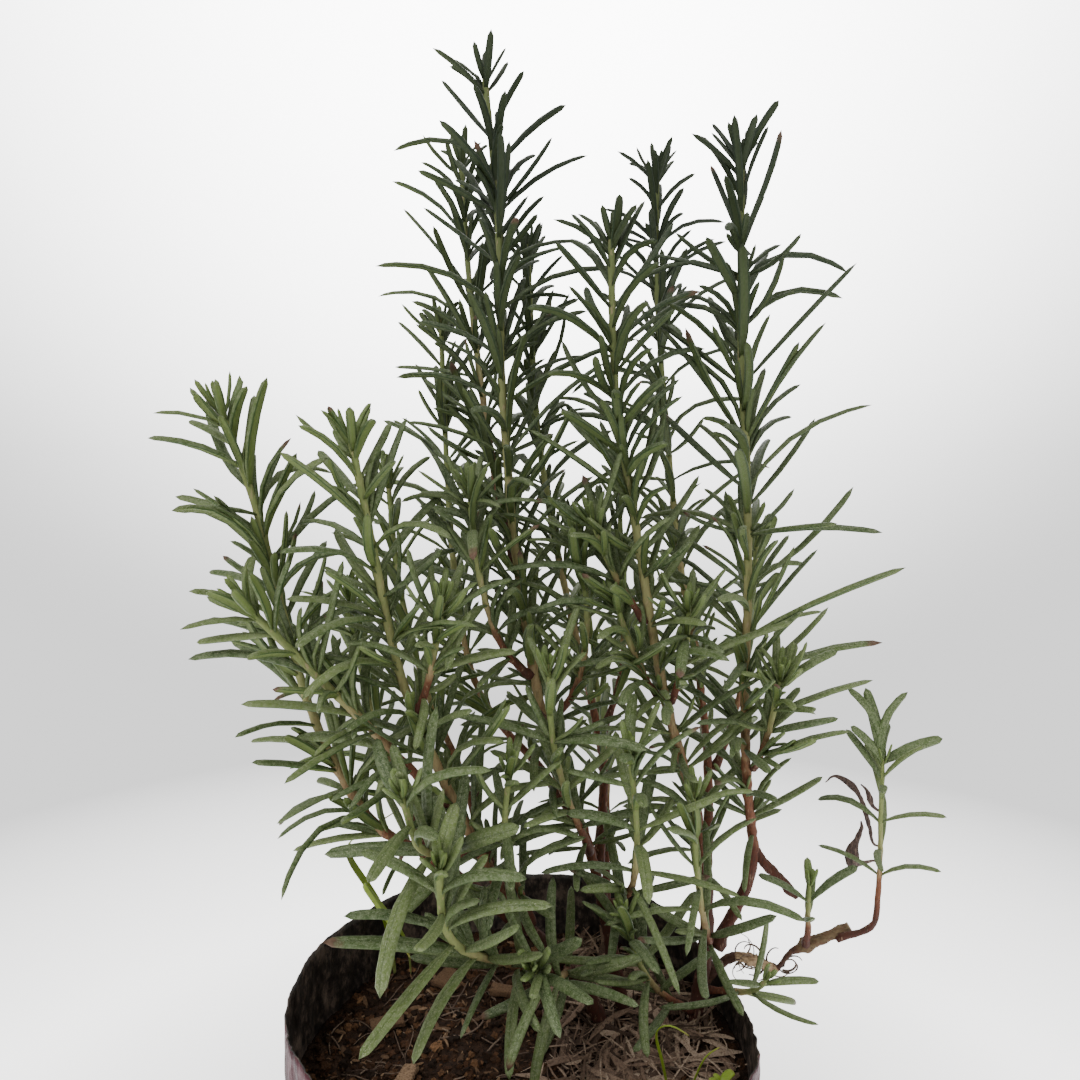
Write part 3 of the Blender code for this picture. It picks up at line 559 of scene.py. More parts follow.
def read_rings(bm, blade=False):
    """The stem's or blade's sections from its base to its tip."""
    bm.normal_update()
    corners = sorted(bm.verts, key=lambda vert: sum(loop.calc_angle() for loop in vert.link_loops))
    walks = [walk_rings(cap) for vert in corners[:16] for cap in flat_ends(vert)]
    walk = min(walks, key=lambda walk: (max(map(len, walk)), sum(map(spread, walk))))
    rings = []
    side = None
    for verts in walk:
        if len(verts) not in (4, 8):
            continue
        centre = mean(vert.co for vert in verts)
        arms = [vert.co - centre for vert in verts]
        reach = sum(arm.length for arm in arms) / len(arms)
        far = max(arms, key=lambda arm: arm.length)
        side = far.normalized() if side is None or side.dot(far) > 0 else -far.normalized()
        rings.append(Ring(centre, reach * (0.97 if len(arms) > 6 else 0.82), far.length, side))
    first, last = rings[0], rings[-1]
    if (blade and first.centre.z > last.centre.z) or (not blade and first.radius < last.radius):
        rings.reverse()
    return rings


def read_shoot(name):
    """(rings, leaf spots) of a shoot's CAD node."""
    bm = merged(name)
    bm.normal_update()
    spots = []
    spare = []
    for vert in bm.verts:
        corners = sum(loop.calc_angle() for loop in vert.link_loops)
        if len(vert.link_faces) == 4 and corners < math.radians(150):
            spot, belly = read_leaf(vert)
            spots.append(spot)
            spare += belly + [vert]
    bmesh.ops.delete(bm, geom=spare, context="VERTS")
    bmesh.ops.holes_fill(bm, edges=[edge for edge in bm.edges if edge.is_boundary], sides=0)
    bmesh.ops.triangulate(bm, faces=bm.faces)
    rings = read_rings(bm)
    bm.free()
    return rings, spots


class Path:
    """A smooth line through a stem's ring centres, with its radius."""

    def __init__(self, rings):
        centres = [ring.centre for ring in rings]
        ends = [centres[0] * 2 - centres[1]] + centres + [centres[-1] * 2 - centres[-2]]
        self.places = []
        self.radii = []
        for index in range(len(rings) - 1):
            before, one, other, after = ends[index:index + 4]
            count = max(1, round((other - one).length / (1.1 * MM)))
            for step in range(count):
                t = step / count
                self.places.append(0.5 * (2 * one + (other - before) * t
                                          + (2 * before - 5 * one + 4 * other - after) * t * t
                                          + (3 * one - before - 3 * other + after) * t ** 3))
                self.radii.append(rings[index].radius * (1 - t) + rings[index + 1].radius * t)
        self.places.append(centres[-1])
        self.radii.append(rings[-1].radius)
        self.lengths = [0.0]
        for one, other in zip(self.places, self.places[1:]):
            self.lengths.append(self.lengths[-1] + (other - one).length)
        self.length = self.lengths[-1]

    def nearest(self, place):
        return min(range(len(self.places)), key=lambda index: (self.places[index] - place).length_squared)

    def way(self, index):
        low = max(0, index - 1)
        high = min(len(self.places) - 1, index + 1)
        return (self.places[high] - self.places[low]).normalized()

    def at(self, along):
        index = 0
        while index < len(self.lengths) - 2 and self.lengths[index + 1] < along:
            index += 1
        gap = max(1e-9, self.lengths[index + 1] - self.lengths[index])
        share = min(1.0, max(-3.0, (along - self.lengths[index]) / gap))
        place = self.places[index].lerp(self.places[index + 1], share)
        share = max(0.0, share)
        return place, self.way(index), self.radii[index] * (1 - share) + self.radii[index + 1] * share


# ---- tubes ----

def section_matrix(place, way, side, wide, thick):
    other = way.cross(side)
    return Matrix.Translation(place) @ Matrix((side * wide, other * thick, way)).transposed().to_4x4()


def sweep(bm, spots, sides, side=None, on_ring=None):
    """A closed tube through (place, way, wide, thick) spots. on_ring(verts, index) shapes or marks a ring."""
    side = side or spots[0][1].orthogonal()
    old = None
    rings = []
    for place, way, wide, thick in spots:
        side = (side - way * side.dot(way)).normalized()
        new = section_matrix(place, way, side, wide, thick)
        if old is None:
            made = bmesh.ops.create_circle(bm, segments=sides, radius=1.0, matrix=new)["verts"]
            first = edges = list({edge for vert in made for edge in vert.link_edges})
        else:
            items = bmesh.ops.extrude_edge_only(bm, edges=edges)["geom"]
            made = points_of(items)
            bmesh.ops.transform(bm, matrix=new @ old.inverted(), verts=made)
            edges = open_edges(items)
        rings.append(made)
        old = new
    bmesh.ops.holes_fill(bm, edges=first, sides=0)
    bmesh.ops.holes_fill(bm, edges=edges, sides=0)
    if on_ring:
        for index, made in enumerate(rings):
            on_ring(made, index)
    bmesh.ops.recalc_face_normals(bm, faces=bm.faces)


def stem_bumps(verts, centre, strength, scale):
    """Small dents and swellings, so that no section is a clean circle."""
    for vert in verts:
        shift = noise.noise(vert.co * scale)
        vert.co = centre + (vert.co - centre) * (1 + strength * shift)


def grow_stem(path, spots, rooted, ripe):
    """The stem, a little swollen at each pair of leaves, with a collar where it starts and a woody foot."""
    nodes = sorted({round(path.lengths[path.nearest(spot.root)] / MM, 0) for spot in spots})
    bm = bmesh.new()
    kind = bm.verts.layers.float_vector.new("stem_kind")
    start = 0.0 if rooted else -STEM_STEP
    count = max(3, int((path.length - start) / STEM_STEP))
    stations = [start + (path.length - start) * step / count for step in range(count + 1)]
    sections = []
    for along in stations:
        place, way, radius = path.at(along)
        near = [along / MM - node for node in nodes if abs(along / MM - node) < 4]
        swell = sum(math.exp(-(away / 1.1) ** 2) for away in near)
        collar = math.exp(-max(0.0, along) / COLLAR_LENGTH) * (0.12 if rooted else 0.3)
        size = radius * (1 + 0.16 * min(1.0, swell) + collar)
        sections.append((place, way, size, size))
    end = sections[-1]
    sections[-1] = (end[0], end[1], end[2] * 0.7, end[3] * 0.7)

    def mark(verts, index):
        place, way, size, _ = sections[index]
        old = clamped((path.at(stations[index])[2] / MM - 1.0) / 1.25)
        share = max(0.0, stations[index]) / path.length
        old = max(old, ripe * (1 - share / 0.7))
        stem_bumps(verts, place, 0.1 + 0.22 * old, 420.0)
        mark_all(verts, kind, old)

    sweep(bm, sections, STEM_SIDES, on_ring=mark)
    return bm


# ---- leaves ----

def unit_leaf(name, stations, section):
    """A flat leaf to copy, one long along Y and one in half width along X, drawn ring by ring."""
    bm = bmesh.new()
    ring = bmesh.ops.create_circle(bm, segments=len(section), radius=1.0)["verts"]
    edges = list({edge for vert in ring for edge in vert.link_edges})
    wide = stations[0][1]
    for vert, (x, z) in zip(ring, section):
        vert.co = (x * wide, 0.0, z * wide)
    bmesh.ops.holes_fill(bm, edges=edges, sides=0)
    for (before, old), (along, new) in zip(stations, stations[1:]):
        items = bmesh.ops.extrude_edge_only(bm, edges=edges)["geom"]
        ring = points_of(items)
        bmesh.ops.scale(bm, vec=(new / old, 1.0, new / old), verts=ring)
        bmesh.ops.translate(bm, vec=(0.0, along - before, 0.0), verts=ring)
        edges = [edge for edge in items if isinstance(edge, bmesh.types.BMEdge)
                 and all(abs(vert.co.y - along) < 1e-6 for vert in edge.verts)]
    bmesh.ops.pointmerge(bm, verts=ring, merge_co=(0.0, 1.0, -0.05))
    bmesh.ops.recalc_face_normals(bm, faces=bm.faces)
    mesh = bpy.data.meshes.new(name)
    bm.to_mesh(mesh)
    bm.free()
    return mesh


class LeafPen:
    """Lays copies of a unit leaf along curves, in one mesh."""

    def __init__(self):
        self.bm = bmesh.new()
        self.where = self.bm.verts.layers.float_vector.new("leaf_place")
        self.kind = self.bm.verts.layers.float_vector.new("leaf_kind")

    def lay(self, unit, root, belly, tip, across, over, half, kind, twist=0.0, lift=1.0):
        """Bends one copy so that it runs through root, belly and tip; kind is (tone, young, dry)."""
        before = len(self.bm.verts)
        self.bm.from_mesh(unit)
        self.bm.verts.ensure_lookup_table()
        t = BELLY_AT
        knee = (belly - root * (1 - t) ** 2 - tip * t ** 2) / (2 * t * (1 - t))
        frames = {}
        for index in range(before, len(self.bm.verts)):
            vert = self.bm.verts[index]
            u, along, w = vert.co
            key = round(along, 3)
            if key not in frames:
                place = root * (1 - along) ** 2 + knee * 2 * along * (1 - along) + tip * along ** 2
                way = ((knee - root) * (1 - along) + (tip - knee) * along).normalized()
                flat = (across - way * across.dot(way)).normalized()
                side = Matrix.Rotation(twist * (along - 0.3), 3, way) @ flat
                up = side.cross(way)
                if up.dot(over) < 0:
                    up = -up
                frames[key] = (place, side, up)
            place, side, up = frames[key]
            wide = self.wide_at(along)
            low = w < FELT_BELOW * wide and abs(u) < 0.85 * wide
            vert.co = place + side * (u * half) + up * (w * half * lift)
            vert[self.where] = (u, along, 1.0 if low else 0.0)
            vert[self.kind] = kind

    @staticmethod
    def wide_at(along):
        """Half the leaf's width here, as a share of its widest."""
        for (one, wide), (other, next_wide) in zip(LEAF_STATIONS, LEAF_STATIONS[1:]):
            if one <= along <= other:
                return wide + (next_wide - wide) * (along - one) / (other - one)
        return LEAF_STATIONS[-1][1]


def depth_at(height):
    """How far up the plant's part with painted shade this height lies, from 0 to 1."""
    return clamped((height - SHADE_FROM) / (SHADE_TO - SHADE_FROM))


def leaf_kind(chance, share, height):
    """(tone, young, dry): high and low leaves get a painted shade in their tone, the newest are fresh green,
    a few have dry tips.
    """
    deep = depth_at(height)
    # painted shade: the tone darkens with height and below TRUNKS_BELOW
    tone = chance.uniform(0.3, 1.0) * (1 - 0.35 * deep) * (0.82 if height < TRUNKS_BELOW else 1.0)
    young = max(0.0, (share - 0.93) / 0.07) * chance.uniform(0.3, 0.8)
    dry = 0.5 if chance.random() < DRY_TIPS else 0.0
    return tone, young, dry


def leaf_sides(way, outward, aim):
    """The directions across and over a leaf that grows along aim beside a stem that runs along way."""
    across = way.cross(outward).normalized()
    over = across.cross(aim).normalized()
    return across, over if over.dot(way) >= 0 else -over


def tuft(pen, units, spot, path, chance, share, height):
    """The side bud in the angle between a leaf and its stem: a tuft of shorter leaves of mixed length."""
    index = path.nearest(spot.root)
    way = path.way(index)
    outward = (spot.root - path.places[index]).normalized()
    ahead = (spot.belly - spot.root).normalized()
    full = (spot.tip - spot.root).length
    for number in range(chance.choice((2, 2, 3, 3))):
        lean = chance.uniform(0.3, 1.1) if number < 2 else chance.uniform(0.15, 0.7)
        aim = (way * (1 - lean) + ahead * lean).normalized()
        aim = Matrix.Rotation(chance.uniform(-0.95, 0.95), 3, way) @ aim
        length = full * (chance.uniform(0.5, 0.92) if number < 2 else chance.uniform(0.25, 0.5))
        root = spot.root + way * chance.uniform(0.5, 2.2) * MM - outward * 0.3 * MM
        across, over = leaf_sides(way, aim, aim)
        bend = chance.uniform(-0.1, 0.2) * length
        sway = across * chance.uniform(-0.08, 0.08) * length
        belly = root + aim * length * BELLY_AT + over * bend * 0.5
        tip = root + aim * length - over * bend * 0.7 + sway
        half = spot.half * (0.42 + 0.42 * length / full) * chance.uniform(0.85, 1.1)
        unit = units["long"] if length > 0.55 * full else units["small"]
        kind = leaf_kind(chance, share, height)
        pen.lay(unit, root, belly, tip, across, over, half, kind, chance.uniform(-0.6, 0.6), UPPER_LIFT)


def crown(pen, units, path, half, chance, count):
    """The bud at the end of a shoot: a close bundle of short new leaves."""
    end = path.places[-1]
    way = path.way(len(path.places) - 1)
    side = way.orthogonal().normalized()
    for index in range(count):
        turn = index * 2.4 + chance.uniform(-0.3, 0.3)
        lean = 0.12 + 0.075 * index + chance.uniform(-0.05, 0.05)
        around = Matrix.Rotation(turn, 3, way) @ side
        aim = (way * math.cos(lean) + around * math.sin(lean)).normalized()
        length = chance.uniform(3.5, 6.0) * MM + index * 1.5 * MM
        root = end - way * (0.4 + index * 0.8) * MM + around * 0.35 * MM
        across, over = leaf_sides(way, around, aim)
        curl = chance.uniform(-0.04 - 0.03 * index, 0.08) * length
        belly = root + aim * length * BELLY_AT - over * 0.03 * length
        tip = root + aim * length + over * curl
        pen.lay(units["small"], root, belly, tip, across, over, half * min(0.75, 0.46 + 0.04 * index),
                (0.8, max(0.0, 0.9 - 0.12 * index), 0.0), lift=1.2)


def twig_tip(pen, units, path):
    """The long leaves that spread from the end of the creeping twig."""
    end = path.places[-1]
    way = path.way(len(path.places) - 1)
    for x, y, z, half, bow in TWIG_TIP_LEAVES:
        reach = Vector((x, y, z)) * MM
        across = reach.cross(Vector((0.0, -1.0, 0.35))).normalized()
        over = across.cross(reach).normalized()
        out = Vector((0.0, 1.0, 0.0)).cross(reach)
        root = end - way * 1.2 * MM
        belly = root + reach * BELLY_AT + out * bow
        pen.lay(units["long"], root, belly, root + reach, across, over, half * MM, (0.5, 0.0, 0.0), 0.4)


def stretched_leaf(spot, share):
    """The same leaf with its length times share, unless that takes it out of the plant's own box."""
    tip = spot.root + (spot.tip - spot.root) * share
    if not all(low < value < high for low, value, high in zip(CAD_BOX[0], tip, CAD_BOX[1])):
        return spot
    return spot._replace(tip=tip, belly=spot.root + (spot.belly - spot.root) * share)


def fullness(name):
    """(share of leaves with a tuft, leaves in the end bud) of a shoot."""
    if name in ("sprig_creeping", "twig_creeping", "shoot_foot_right"):
        return OPEN_SHOOT
    if name.startswith(("shoot_front", "shoot_foot", "shoot_low")):
        return LOW_SHOOT
    return FULL_SHOOT


def grow_leaves(name, path, spots, units):
    """All of a shoot's leaves in one mesh: one at each leaf spot, tufts beside some, and the end bud."""
    tufts, bud_leaves = fullness(name)
    chance = random.Random(name + " leaves")
    pen = LeafPen()

    def rank(spot):
        return round(path.lengths[path.nearest(spot.root)] / MM), round(spot.tip.x, 3)

    for spot in sorted(spots, key=rank):
        index = path.nearest(spot.root)
        share = path.lengths[index] / path.length
        height = spot.root.z
        inward = (path.places[index] - spot.root) * 0.35
        if spot.over.dot(path.way(index)) < 0:
            spot = spot._replace(over=-spot.over)
        kind = leaf_kind(chance, share, height)
        spot = stretched_leaf(spot, chance.uniform(*LONGER))
        length = (spot.tip - spot.root).length
        slim = 0.96 if height > TRUNKS_BELOW else 0.82
        slim -= 0.04 * depth_at(height)
        hump = spot.over * chance.uniform(-0.02, 0.06) * length
        droop = spot.over * chance.uniform(-0.2, 0.09) * length
        droop += spot.across * chance.uniform(-0.09, 0.09) * length
        half = spot.half * slim * chance.uniform(0.76, 1.06)
        lift = UPPER_LIFT if height > TRUNKS_BELOW else 1.0
        pen.lay(units["long"], spot.root + inward, spot.belly + hump, spot.tip + droop, spot.across,
                spot.over, half, kind, chance.uniform(-0.8, 0.8), lift)
        if share < 0.9 and chance.random() < tufts * (0.45 if height < TRUNKS_BELOW else 1.0):
            tuft(pen, units, spot, path, chance, share, height)
    if name == "twig_creeping":
        twig_tip(pen, units, path)
    half = sum(spot.half for spot in spots) / len(spots)
    crown(pen, units, path, half, chance, bud_leaves)
    bmesh.ops.recalc_face_normals(pen.bm, faces=pen.bm.faces)
    return pen.bm


def line_spots(points, step):
    """(place, way, wide, thick) along a smooth line through (x, y, z, wide[, thick]) points in mm."""
    rings = [Ring(Vector(point[:3]) * MM, point[3] * MM, point[-1] * MM, None) for point in points]
    path = Path(rings)
    flat = Path([ring._replace(radius=ring.wide) for ring in rings])
    count = max(4, round(path.length / (step * MM)))
    spots = []
    for index in range(count + 1):
        place, way, wide = path.at(path.length * index / count)
        spots.append((place, way, wide, flat.at(path.length * index / count)[2]))
    return with_ways(spots)


def creeping_branch(looks):
    """The branch that creeps over the bag's edge: a rooty end, a thin neck and a short cut log."""
    bm = bmesh.new()
    kind = bm.verts.layers.float_vector.new("stem_kind")
    spots = line_spots(CREEPING_BRANCH, 0.7)

    def mark(verts, index):
        place = spots[index][0]
        zone = 0.55
        if ROOTY_END[0] < place.x < ROOTY_END[1]:
            zone = 0.08
        elif LOG[0] < place.x < LOG[1]:
            zone = 0.8
        elif place.x >= LOG[1]:
            zone = 1.0
        knob = 1 + 0.3 * noise.noise(place * 260.0) + 0.1 * noise.noise(place * 900.0)
        for vert in verts:
            dent = 1 + 0.2 * noise.noise(vert.co * 480.0) + 0.1 * noise.noise(vert.co * 1500.0)
            vert.co = place + (vert.co - place) * knob * dent
        mark_all(verts, kind, zone)

    sweep(bm, spots, 18, on_ring=mark)
    add_piece("branch_creeping_wood", bm, [looks["creeping_wood"]], ["branch_creeping"])

    chance = random.Random("rootlets")
    heap = Heap()
    for _ in range(ROOTLETS):
        start = Vector((chance.uniform(75, 92), 21.5 + chance.uniform(-1.2, 1.2), 0.0))
        start.z = 144.5 - 0.22 * (start.x - 76) + chance.uniform(-1.5, 0.5)
        heading = chance.uniform(0.6, 2.5) * chance.choice((-1, -1, 1))
        turn = chance.uniform(14, 42) * chance.choice((-1, 1))
        sway = chance.uniform(-0.5, 0.5)
        size = chance.uniform(0.2, 0.5)
        points = []
        place = start.copy()
        steps = chance.choice((5, 6, 8))
        for step in range(steps):
            points.append((*place, size * (1 - 0.75 * step / steps)))
            heading += math.radians(turn)
            place += Vector((math.cos(heading), sway, math.sin(heading))) * chance.uniform(1.1, 2.2)
        bm = bmesh.new()
        sweep(bm, line_spots(points, 0.5), 5)
        heap.add(bm, chance.uniform(0.1, 0.9))
    heap.finish("creeping_rootlets", looks["root"])


def dead_parts(looks):
    """A bare drooping stub, and leaves that have dried and curled on the twig."""
    bm = bmesh.new()
    kind = bm.verts.layers.float_vector.new("stem_kind")
    spots = line_spots(DROOPING_STUB, 1.0)

    def mark(verts, index):
        stem_bumps(verts, spots[index][0], 0.35, 420.0)
        mark_all(verts, kind, 0.9)

    sweep(bm, spots, 10, on_ring=mark)
    add_piece("drooping_stub", bm, [looks["bark"]], ["shoot_droop"])
    heap = Heap()
    for leaf in DEAD_LEAVES:
        bm = bmesh.new()
        spots = line_spots(leaf, 0.5)
        sweep(bm, spots, 8, spots[0][1].cross(Vector((0.0, 1.0, 0.2))))
        for vert in bm.verts:
            vert.co += Vector((noise.noise(vert.co * 700.0), noise.noise(vert.co * 650.0), 0.0)) * 0.2 * MM
        heap.add(bm, 0.5)
    heap.finish("dead_leaves", looks["dead_leaf"])


def seedling(units, looks):
    """A weed's first leaves at the foot of the grass."""
    bm = bmesh.new()
    bm.verts.layers.float_vector.new("leaf_place")
    sweep(bm, line_spots(SEEDLING_STALK, 1.0), 8)
    add_piece("seedling_stalk", bm, [looks["grass"]], ["seedling"])
    top = Vector(SEEDLING_STALK[-1][:3]) * MM
    pen = LeafPen()
    for turn, length, half in ((0.6, 5.0, 1.7), (3.6, 4.5, 1.5), (2.2, 3.0, 0.9)):
        aim = Vector((math.cos(turn), math.sin(turn) * 0.8, 0.55)).normalized()
        across = aim.cross(Vector((0, 0, 1))).normalized()
        over = across.cross(aim)
        belly = top + aim * length * BELLY_AT * MM
        tip = top + (aim * length - over * 0.8) * MM
        pen.lay(units["long"], top, belly, tip, across, over, half * MM, (0.7, 1.0, 0.0), lift=0.4)
    bmesh.ops.recalc_face_normals(pen.bm, faces=pen.bm.faces)
    add_piece("seedling_leaves", pen.bm, [looks["grass"]], ["seedling"])


def rosemary(looks):
    """Every shoot's stem and leaves, the creeping side, the dead parts and the seedling."""
    units = {
        "long": unit_leaf("long_leaf", LEAF_STATIONS, LEAF_SECTION),
        "small": unit_leaf("small_leaf", SMALL_STATIONS, SMALL_SECTION),
    }
    for name in sorted(NODES):
        if not name.startswith(("shoot_", "sprig_", "twig_")) or name == "shoot_droop":
            continue
        rings, spots = read_shoot(name)
        path = Path(rings)
        stem = grow_stem(path, spots, name in ROOTED, WOODIER.get(name, WOODY))
        add_piece(name + "_stem", stem, [looks["bark"]], [name])
        if spots:
            leaves = grow_leaves(name, path, spots, units)
            add_piece(name + "_leaves", leaves, [looks["leaf"]], [name])
    seedling(units, looks)
    creeping_branch(looks)
    dead_parts(looks)


# ---- bag ----

def smoothed(bm, levels):
    """The mesh after a smooth subdivision."""
    mesh = bpy.data.meshes.new("smoothing")
    bm.to_mesh(mesh)
    bm.free()
    helper = placed("smoothing", mesh)
    subdivision = helper.modifiers.new("Smooth", "SUBSURF")
    subdivision.levels = subdivision.render_levels = levels
    fine = bmesh.new()
    fine.from_object(helper, bpy.context.evaluated_depsgraph_get())
    bpy.data.objects.remove(helper)
    bpy.data.meshes.remove(mesh)
    return fine


def outer_skin():
    """The outer faces of the CAD bag, as quads."""
    bm = merged("grow_bag")
    bm.normal_update()
    inner = []
    for face in bm.faces:
        middle = face.calc_center_median()
        outward = Vector((middle.x, middle.y, 0.0))
        radial = face.normal.dot(outward.normalized()) if outward.length > 0.1 * MM else 0.0
        facing_in = radial < -0.3 and middle.z > 1.4 * MM
        facing_up = face.normal.z > 0.7
        if facing_in or facing_up:
            inner.append(face)
    bmesh.ops.delete(bm, geom=inner, context="FACES")
    bmesh.ops.join_triangles(bm, faces=bm.faces, angle_face_threshold=0.6, angle_shape_threshold=1.2)
    return bm


def crease(place, outward):
    """How far the film stands in or out here: long soft folds, sharp little creases and a wavy edge."""
    folds = noise.noise(outward * 5.0 + Vector((0.0, 0.0, place.z * 9.0)))
    sharp = 1 - 2 * abs(noise.noise(outward * 13.0 + Vector((3.0, 1.0, place.z * 45.0))))
    small = 1 - 2 * abs(noise.noise(outward * 34.0 + Vector((7.0, 4.0, place.z * 150.0))))
    tiny = noise.noise(outward * 90.0 + Vector((1.0, 2.0, place.z * 700.0)))
    return (folds + 0.55 * sharp + 0.3 * small + 0.12 * tiny) * MM


def bag(looks):
    """The thin film, creased all over. Returns its surface for the soil to meet."""
    bm = smoothed(outer_skin(), 3)
    bm.normal_update()
    for vert in bm.verts:
        flat = Vector((vert.co.x, vert.co.y, 0.0))
        if flat.length < FLAT_FOOT:
            continue
        outward = flat.normalized()
        vert.co += outward * (crease(vert.co, outward) - 0.7 * MM)
    bmesh.ops.recalc_face_normals(bm, faces=bm.faces)
    surface = BVHTree.FromBMesh(bm)
    film = add_piece("bag_film", bm, [looks["film_outside"], looks["film_inside"]], ["grow_bag"])
    wall = film.modifiers.new("Wall", "SOLIDIFY")
    wall.thickness = FILM_THICKNESS
    wall.offset = -1.0
    wall.material_offset = 1
    wall.material_offset_rim = 1
    return surface


# ---- soil ----

class Heap:
    """Many small loose bits gathered into one mesh, each with its own tone."""

    def __init__(self):
        self.bm = bmesh.new()
        self.holder = bpy.data.meshes.new("holder")

    def add(self, bm, tone):
        mark_all(bm.verts, bm.verts.layers.float_vector.new("bit_kind"), tone)
        bmesh.ops.recalc_face_normals(bm, faces=bm.faces)
        bm.to_mesh(self.holder)
        bm.free()
        self.bm.from_mesh(self.holder)

    def finish(self, name, look, smooth=True):
        bpy.data.meshes.remove(self.holder)
        add_piece(name, self.bm, [look], smooth=smooth)


class Ground:
    """The CAD soil's height, made lumpy, out to the film."""

    def __init__(self, film):
        bm = merged("soil")
        self.tree = BVHTree.FromBMesh(bm)
        self.film = film
        bm.free()

    def reach(self, outward, height):
        """How far the film is from the middle in this direction."""
        hit = self.film.ray_cast(Vector((0.0, 0.0, height)), outward)[0]
        return hit.to_2d().length - 0.3 * MM

    def base(self, x, y):
        """The CAD soil's own height."""
        flat = Vector((x, y))
        if flat.length > SOIL_REACH:
            flat = flat.normalized() * SOIL_REACH
        hit = self.tree.ray_cast(Vector((flat.x, flat.y, 0.3)), Vector((0.0, 0.0, -1.0)))[0]
        return hit.z if hit and hit.z > LOWEST_SOIL else SOIL_LEVEL

    def height(self, x, y):
        place = Vector((x, y, 0.0))
        sizes = ((1.5, 85.0), (0.9, 210.0), (0.45, 520.0))
        return self.base(x, y) + sum(size * noise.noise(place * scale) for size, scale in sizes) * MM

    def lean(self, x, y):
        """The surface's upward direction."""
        step = 1.5 * MM
        slope_x = (self.height(x + step, y) - self.height(x - step, y)) / (2 * step)
        slope_y = (self.height(x, y + step) - self.height(x, y - step)) / (2 * step)
        return Vector((-slope_x, -slope_y, 1.0)).normalized()


def soil(ground, looks):
    """The bed of soil: rings that shrink from the film to the middle, and a short skirt below."""
    bm = bmesh.new()
    ring = bmesh.ops.create_circle(bm, segments=SOIL_SIDES, radius=1.0)["verts"]
    for vert in ring:
        outward = vert.co.normalized()
        vert.co = outward * ground.reach(outward, SOIL_LEVEL)
    rim = edges = list({edge for vert in ring for edge in vert.link_edges})
    for left in range(SOIL_RINGS - 1, 0, -1):
        items = bmesh.ops.extrude_edge_only(bm, edges=edges)["geom"]
        shrink = left / (left + 1)
        bmesh.ops.scale(bm, vec=(shrink, shrink, 1.0), verts=points_of(items))
        edges = open_edges(items)
    bmesh.ops.holes_fill(bm, edges=edges, sides=0)
    for vert in bm.verts:
        vert.co.z = ground.height(vert.co.x, vert.co.y)
    items = bmesh.ops.extrude_edge_only(bm, edges=rim)["geom"]
    lower = points_of(items)
    bmesh.ops.scale(bm, vec=(0.97, 0.97, 1.0), verts=lower)
    bmesh.ops.translate(bm, vec=(0.0, 0.0, -SOIL_DEPTH), verts=lower)
    bmesh.ops.holes_fill(bm, edges=[edge for edge in bm.edges if edge.is_boundary], sides=0)
    bmesh.ops.recalc_face_normals(bm, faces=bm.faces)
    add_piece("soil_bed", bm, [looks["soil"]], ["soil"])


def spots_on_soil(chance, count, keep):
    """Random places on the soil, inside the film, that keep(x, y) accepts."""
    found = []
    while len(found) < count:
        away = (SOIL_REACH + MM) * math.sqrt(chance.random())
        turn = chance.uniform(0, math.tau)
        x, y = away * math.cos(turn), away * math.sin(turn)
        if keep(x, y):
            found.append((x, y))
    return found


def resting(ground, x, y, turn, tilt, above):
    """A matrix for something that lies along X on the soil."""
    up = ground.lean(x, y)
    along = Matrix.Rotation(turn, 3, up) @ up.orthogonal().normalized()
    side = up.cross(along)
    along = Matrix.Rotation(tilt, 3, side) @ along
    up = along.cross(side)
    turned = Matrix((along, side, up)).transposed().to_4x4()
    return Matrix.Translation((x, y, ground.height(x, y) + above)) @ turned


def straw_share(x, y):
    """How much of the ground is straw here: none at the left, all of it at the front right."""
    edge = noise.noise(Vector((x, y, 2.0)) * 60.0) * 8 * MM
    return clamped((x - 4 * MM + edge - 0.15 * y) / (16 * MM))


def crumbs(ground, looks):
    """Loose crumbs of potting mix, from grit to small clods."""
    chance = random.Random("crumbs")
    heap = Heap()
    for x, y in spots_on_soil(chance, CRUMBS, lambda x, y: chance.random() > 0.6 * straw_share(x, y)):
        size = (0.28 + 1.5 * chance.random() ** 4) * MM
        detail = 2 if size > 1.2 * MM else 1
        tone = chance.betavariate(1.1, 2.6)
        centre = Vector((x, y, ground.height(x, y) + size * 0.25))
        flat = Vector((chance.uniform(0.7, 1.3), chance.uniform(0.7, 1.2), chance.uniform(0.5, 0.9)))
        bm = bmesh.new()
        for vert in bmesh.ops.create_icosphere(bm, subdivisions=detail, radius=size)["verts"]:
            bump = 1 + 0.9 * noise.noise((centre + vert.co) * 1100.0)
            vert.co = centre + vert.co * flat * bump
        heap.add(bm, tone)
    heap.finish("soil_crumbs", looks["crumb"], smooth=False)


def sliver(heap, tone, matrix, length, wide, thick, chance, sides=4):
    """A thin bent splinter with torn ends, lying along X."""
    bm = bmesh.new()
    bow = chance.uniform(-0.12, 0.12) * length
    hump = chance.uniform(-0.02, 0.06) * length
    spots = []
    shares = (0.35, chance.uniform(0.8, 1.0), 1.0, chance.uniform(0.75, 1.0), chance.uniform(0.15, 0.5))
    for step, share in enumerate(shares):
        t = step / (len(shares) - 1)
        arch = 4 * t * (1 - t)
        place = matrix @ Vector(((t - 0.5) * length, bow * arch, hump * arch))
        way = matrix.to_3x3() @ Vector((length, bow * 4 * (1 - 2 * t), hump * 4 * (1 - 2 * t)))
        spots.append((place, way.normalized(), wide / 2 * share, thick / 2 * (0.5 + 0.5 * share)))
    sweep(bm, spots, sides, matrix.to_3x3() @ Vector((0, 1, 0)))
    heap.add(bm, tone)


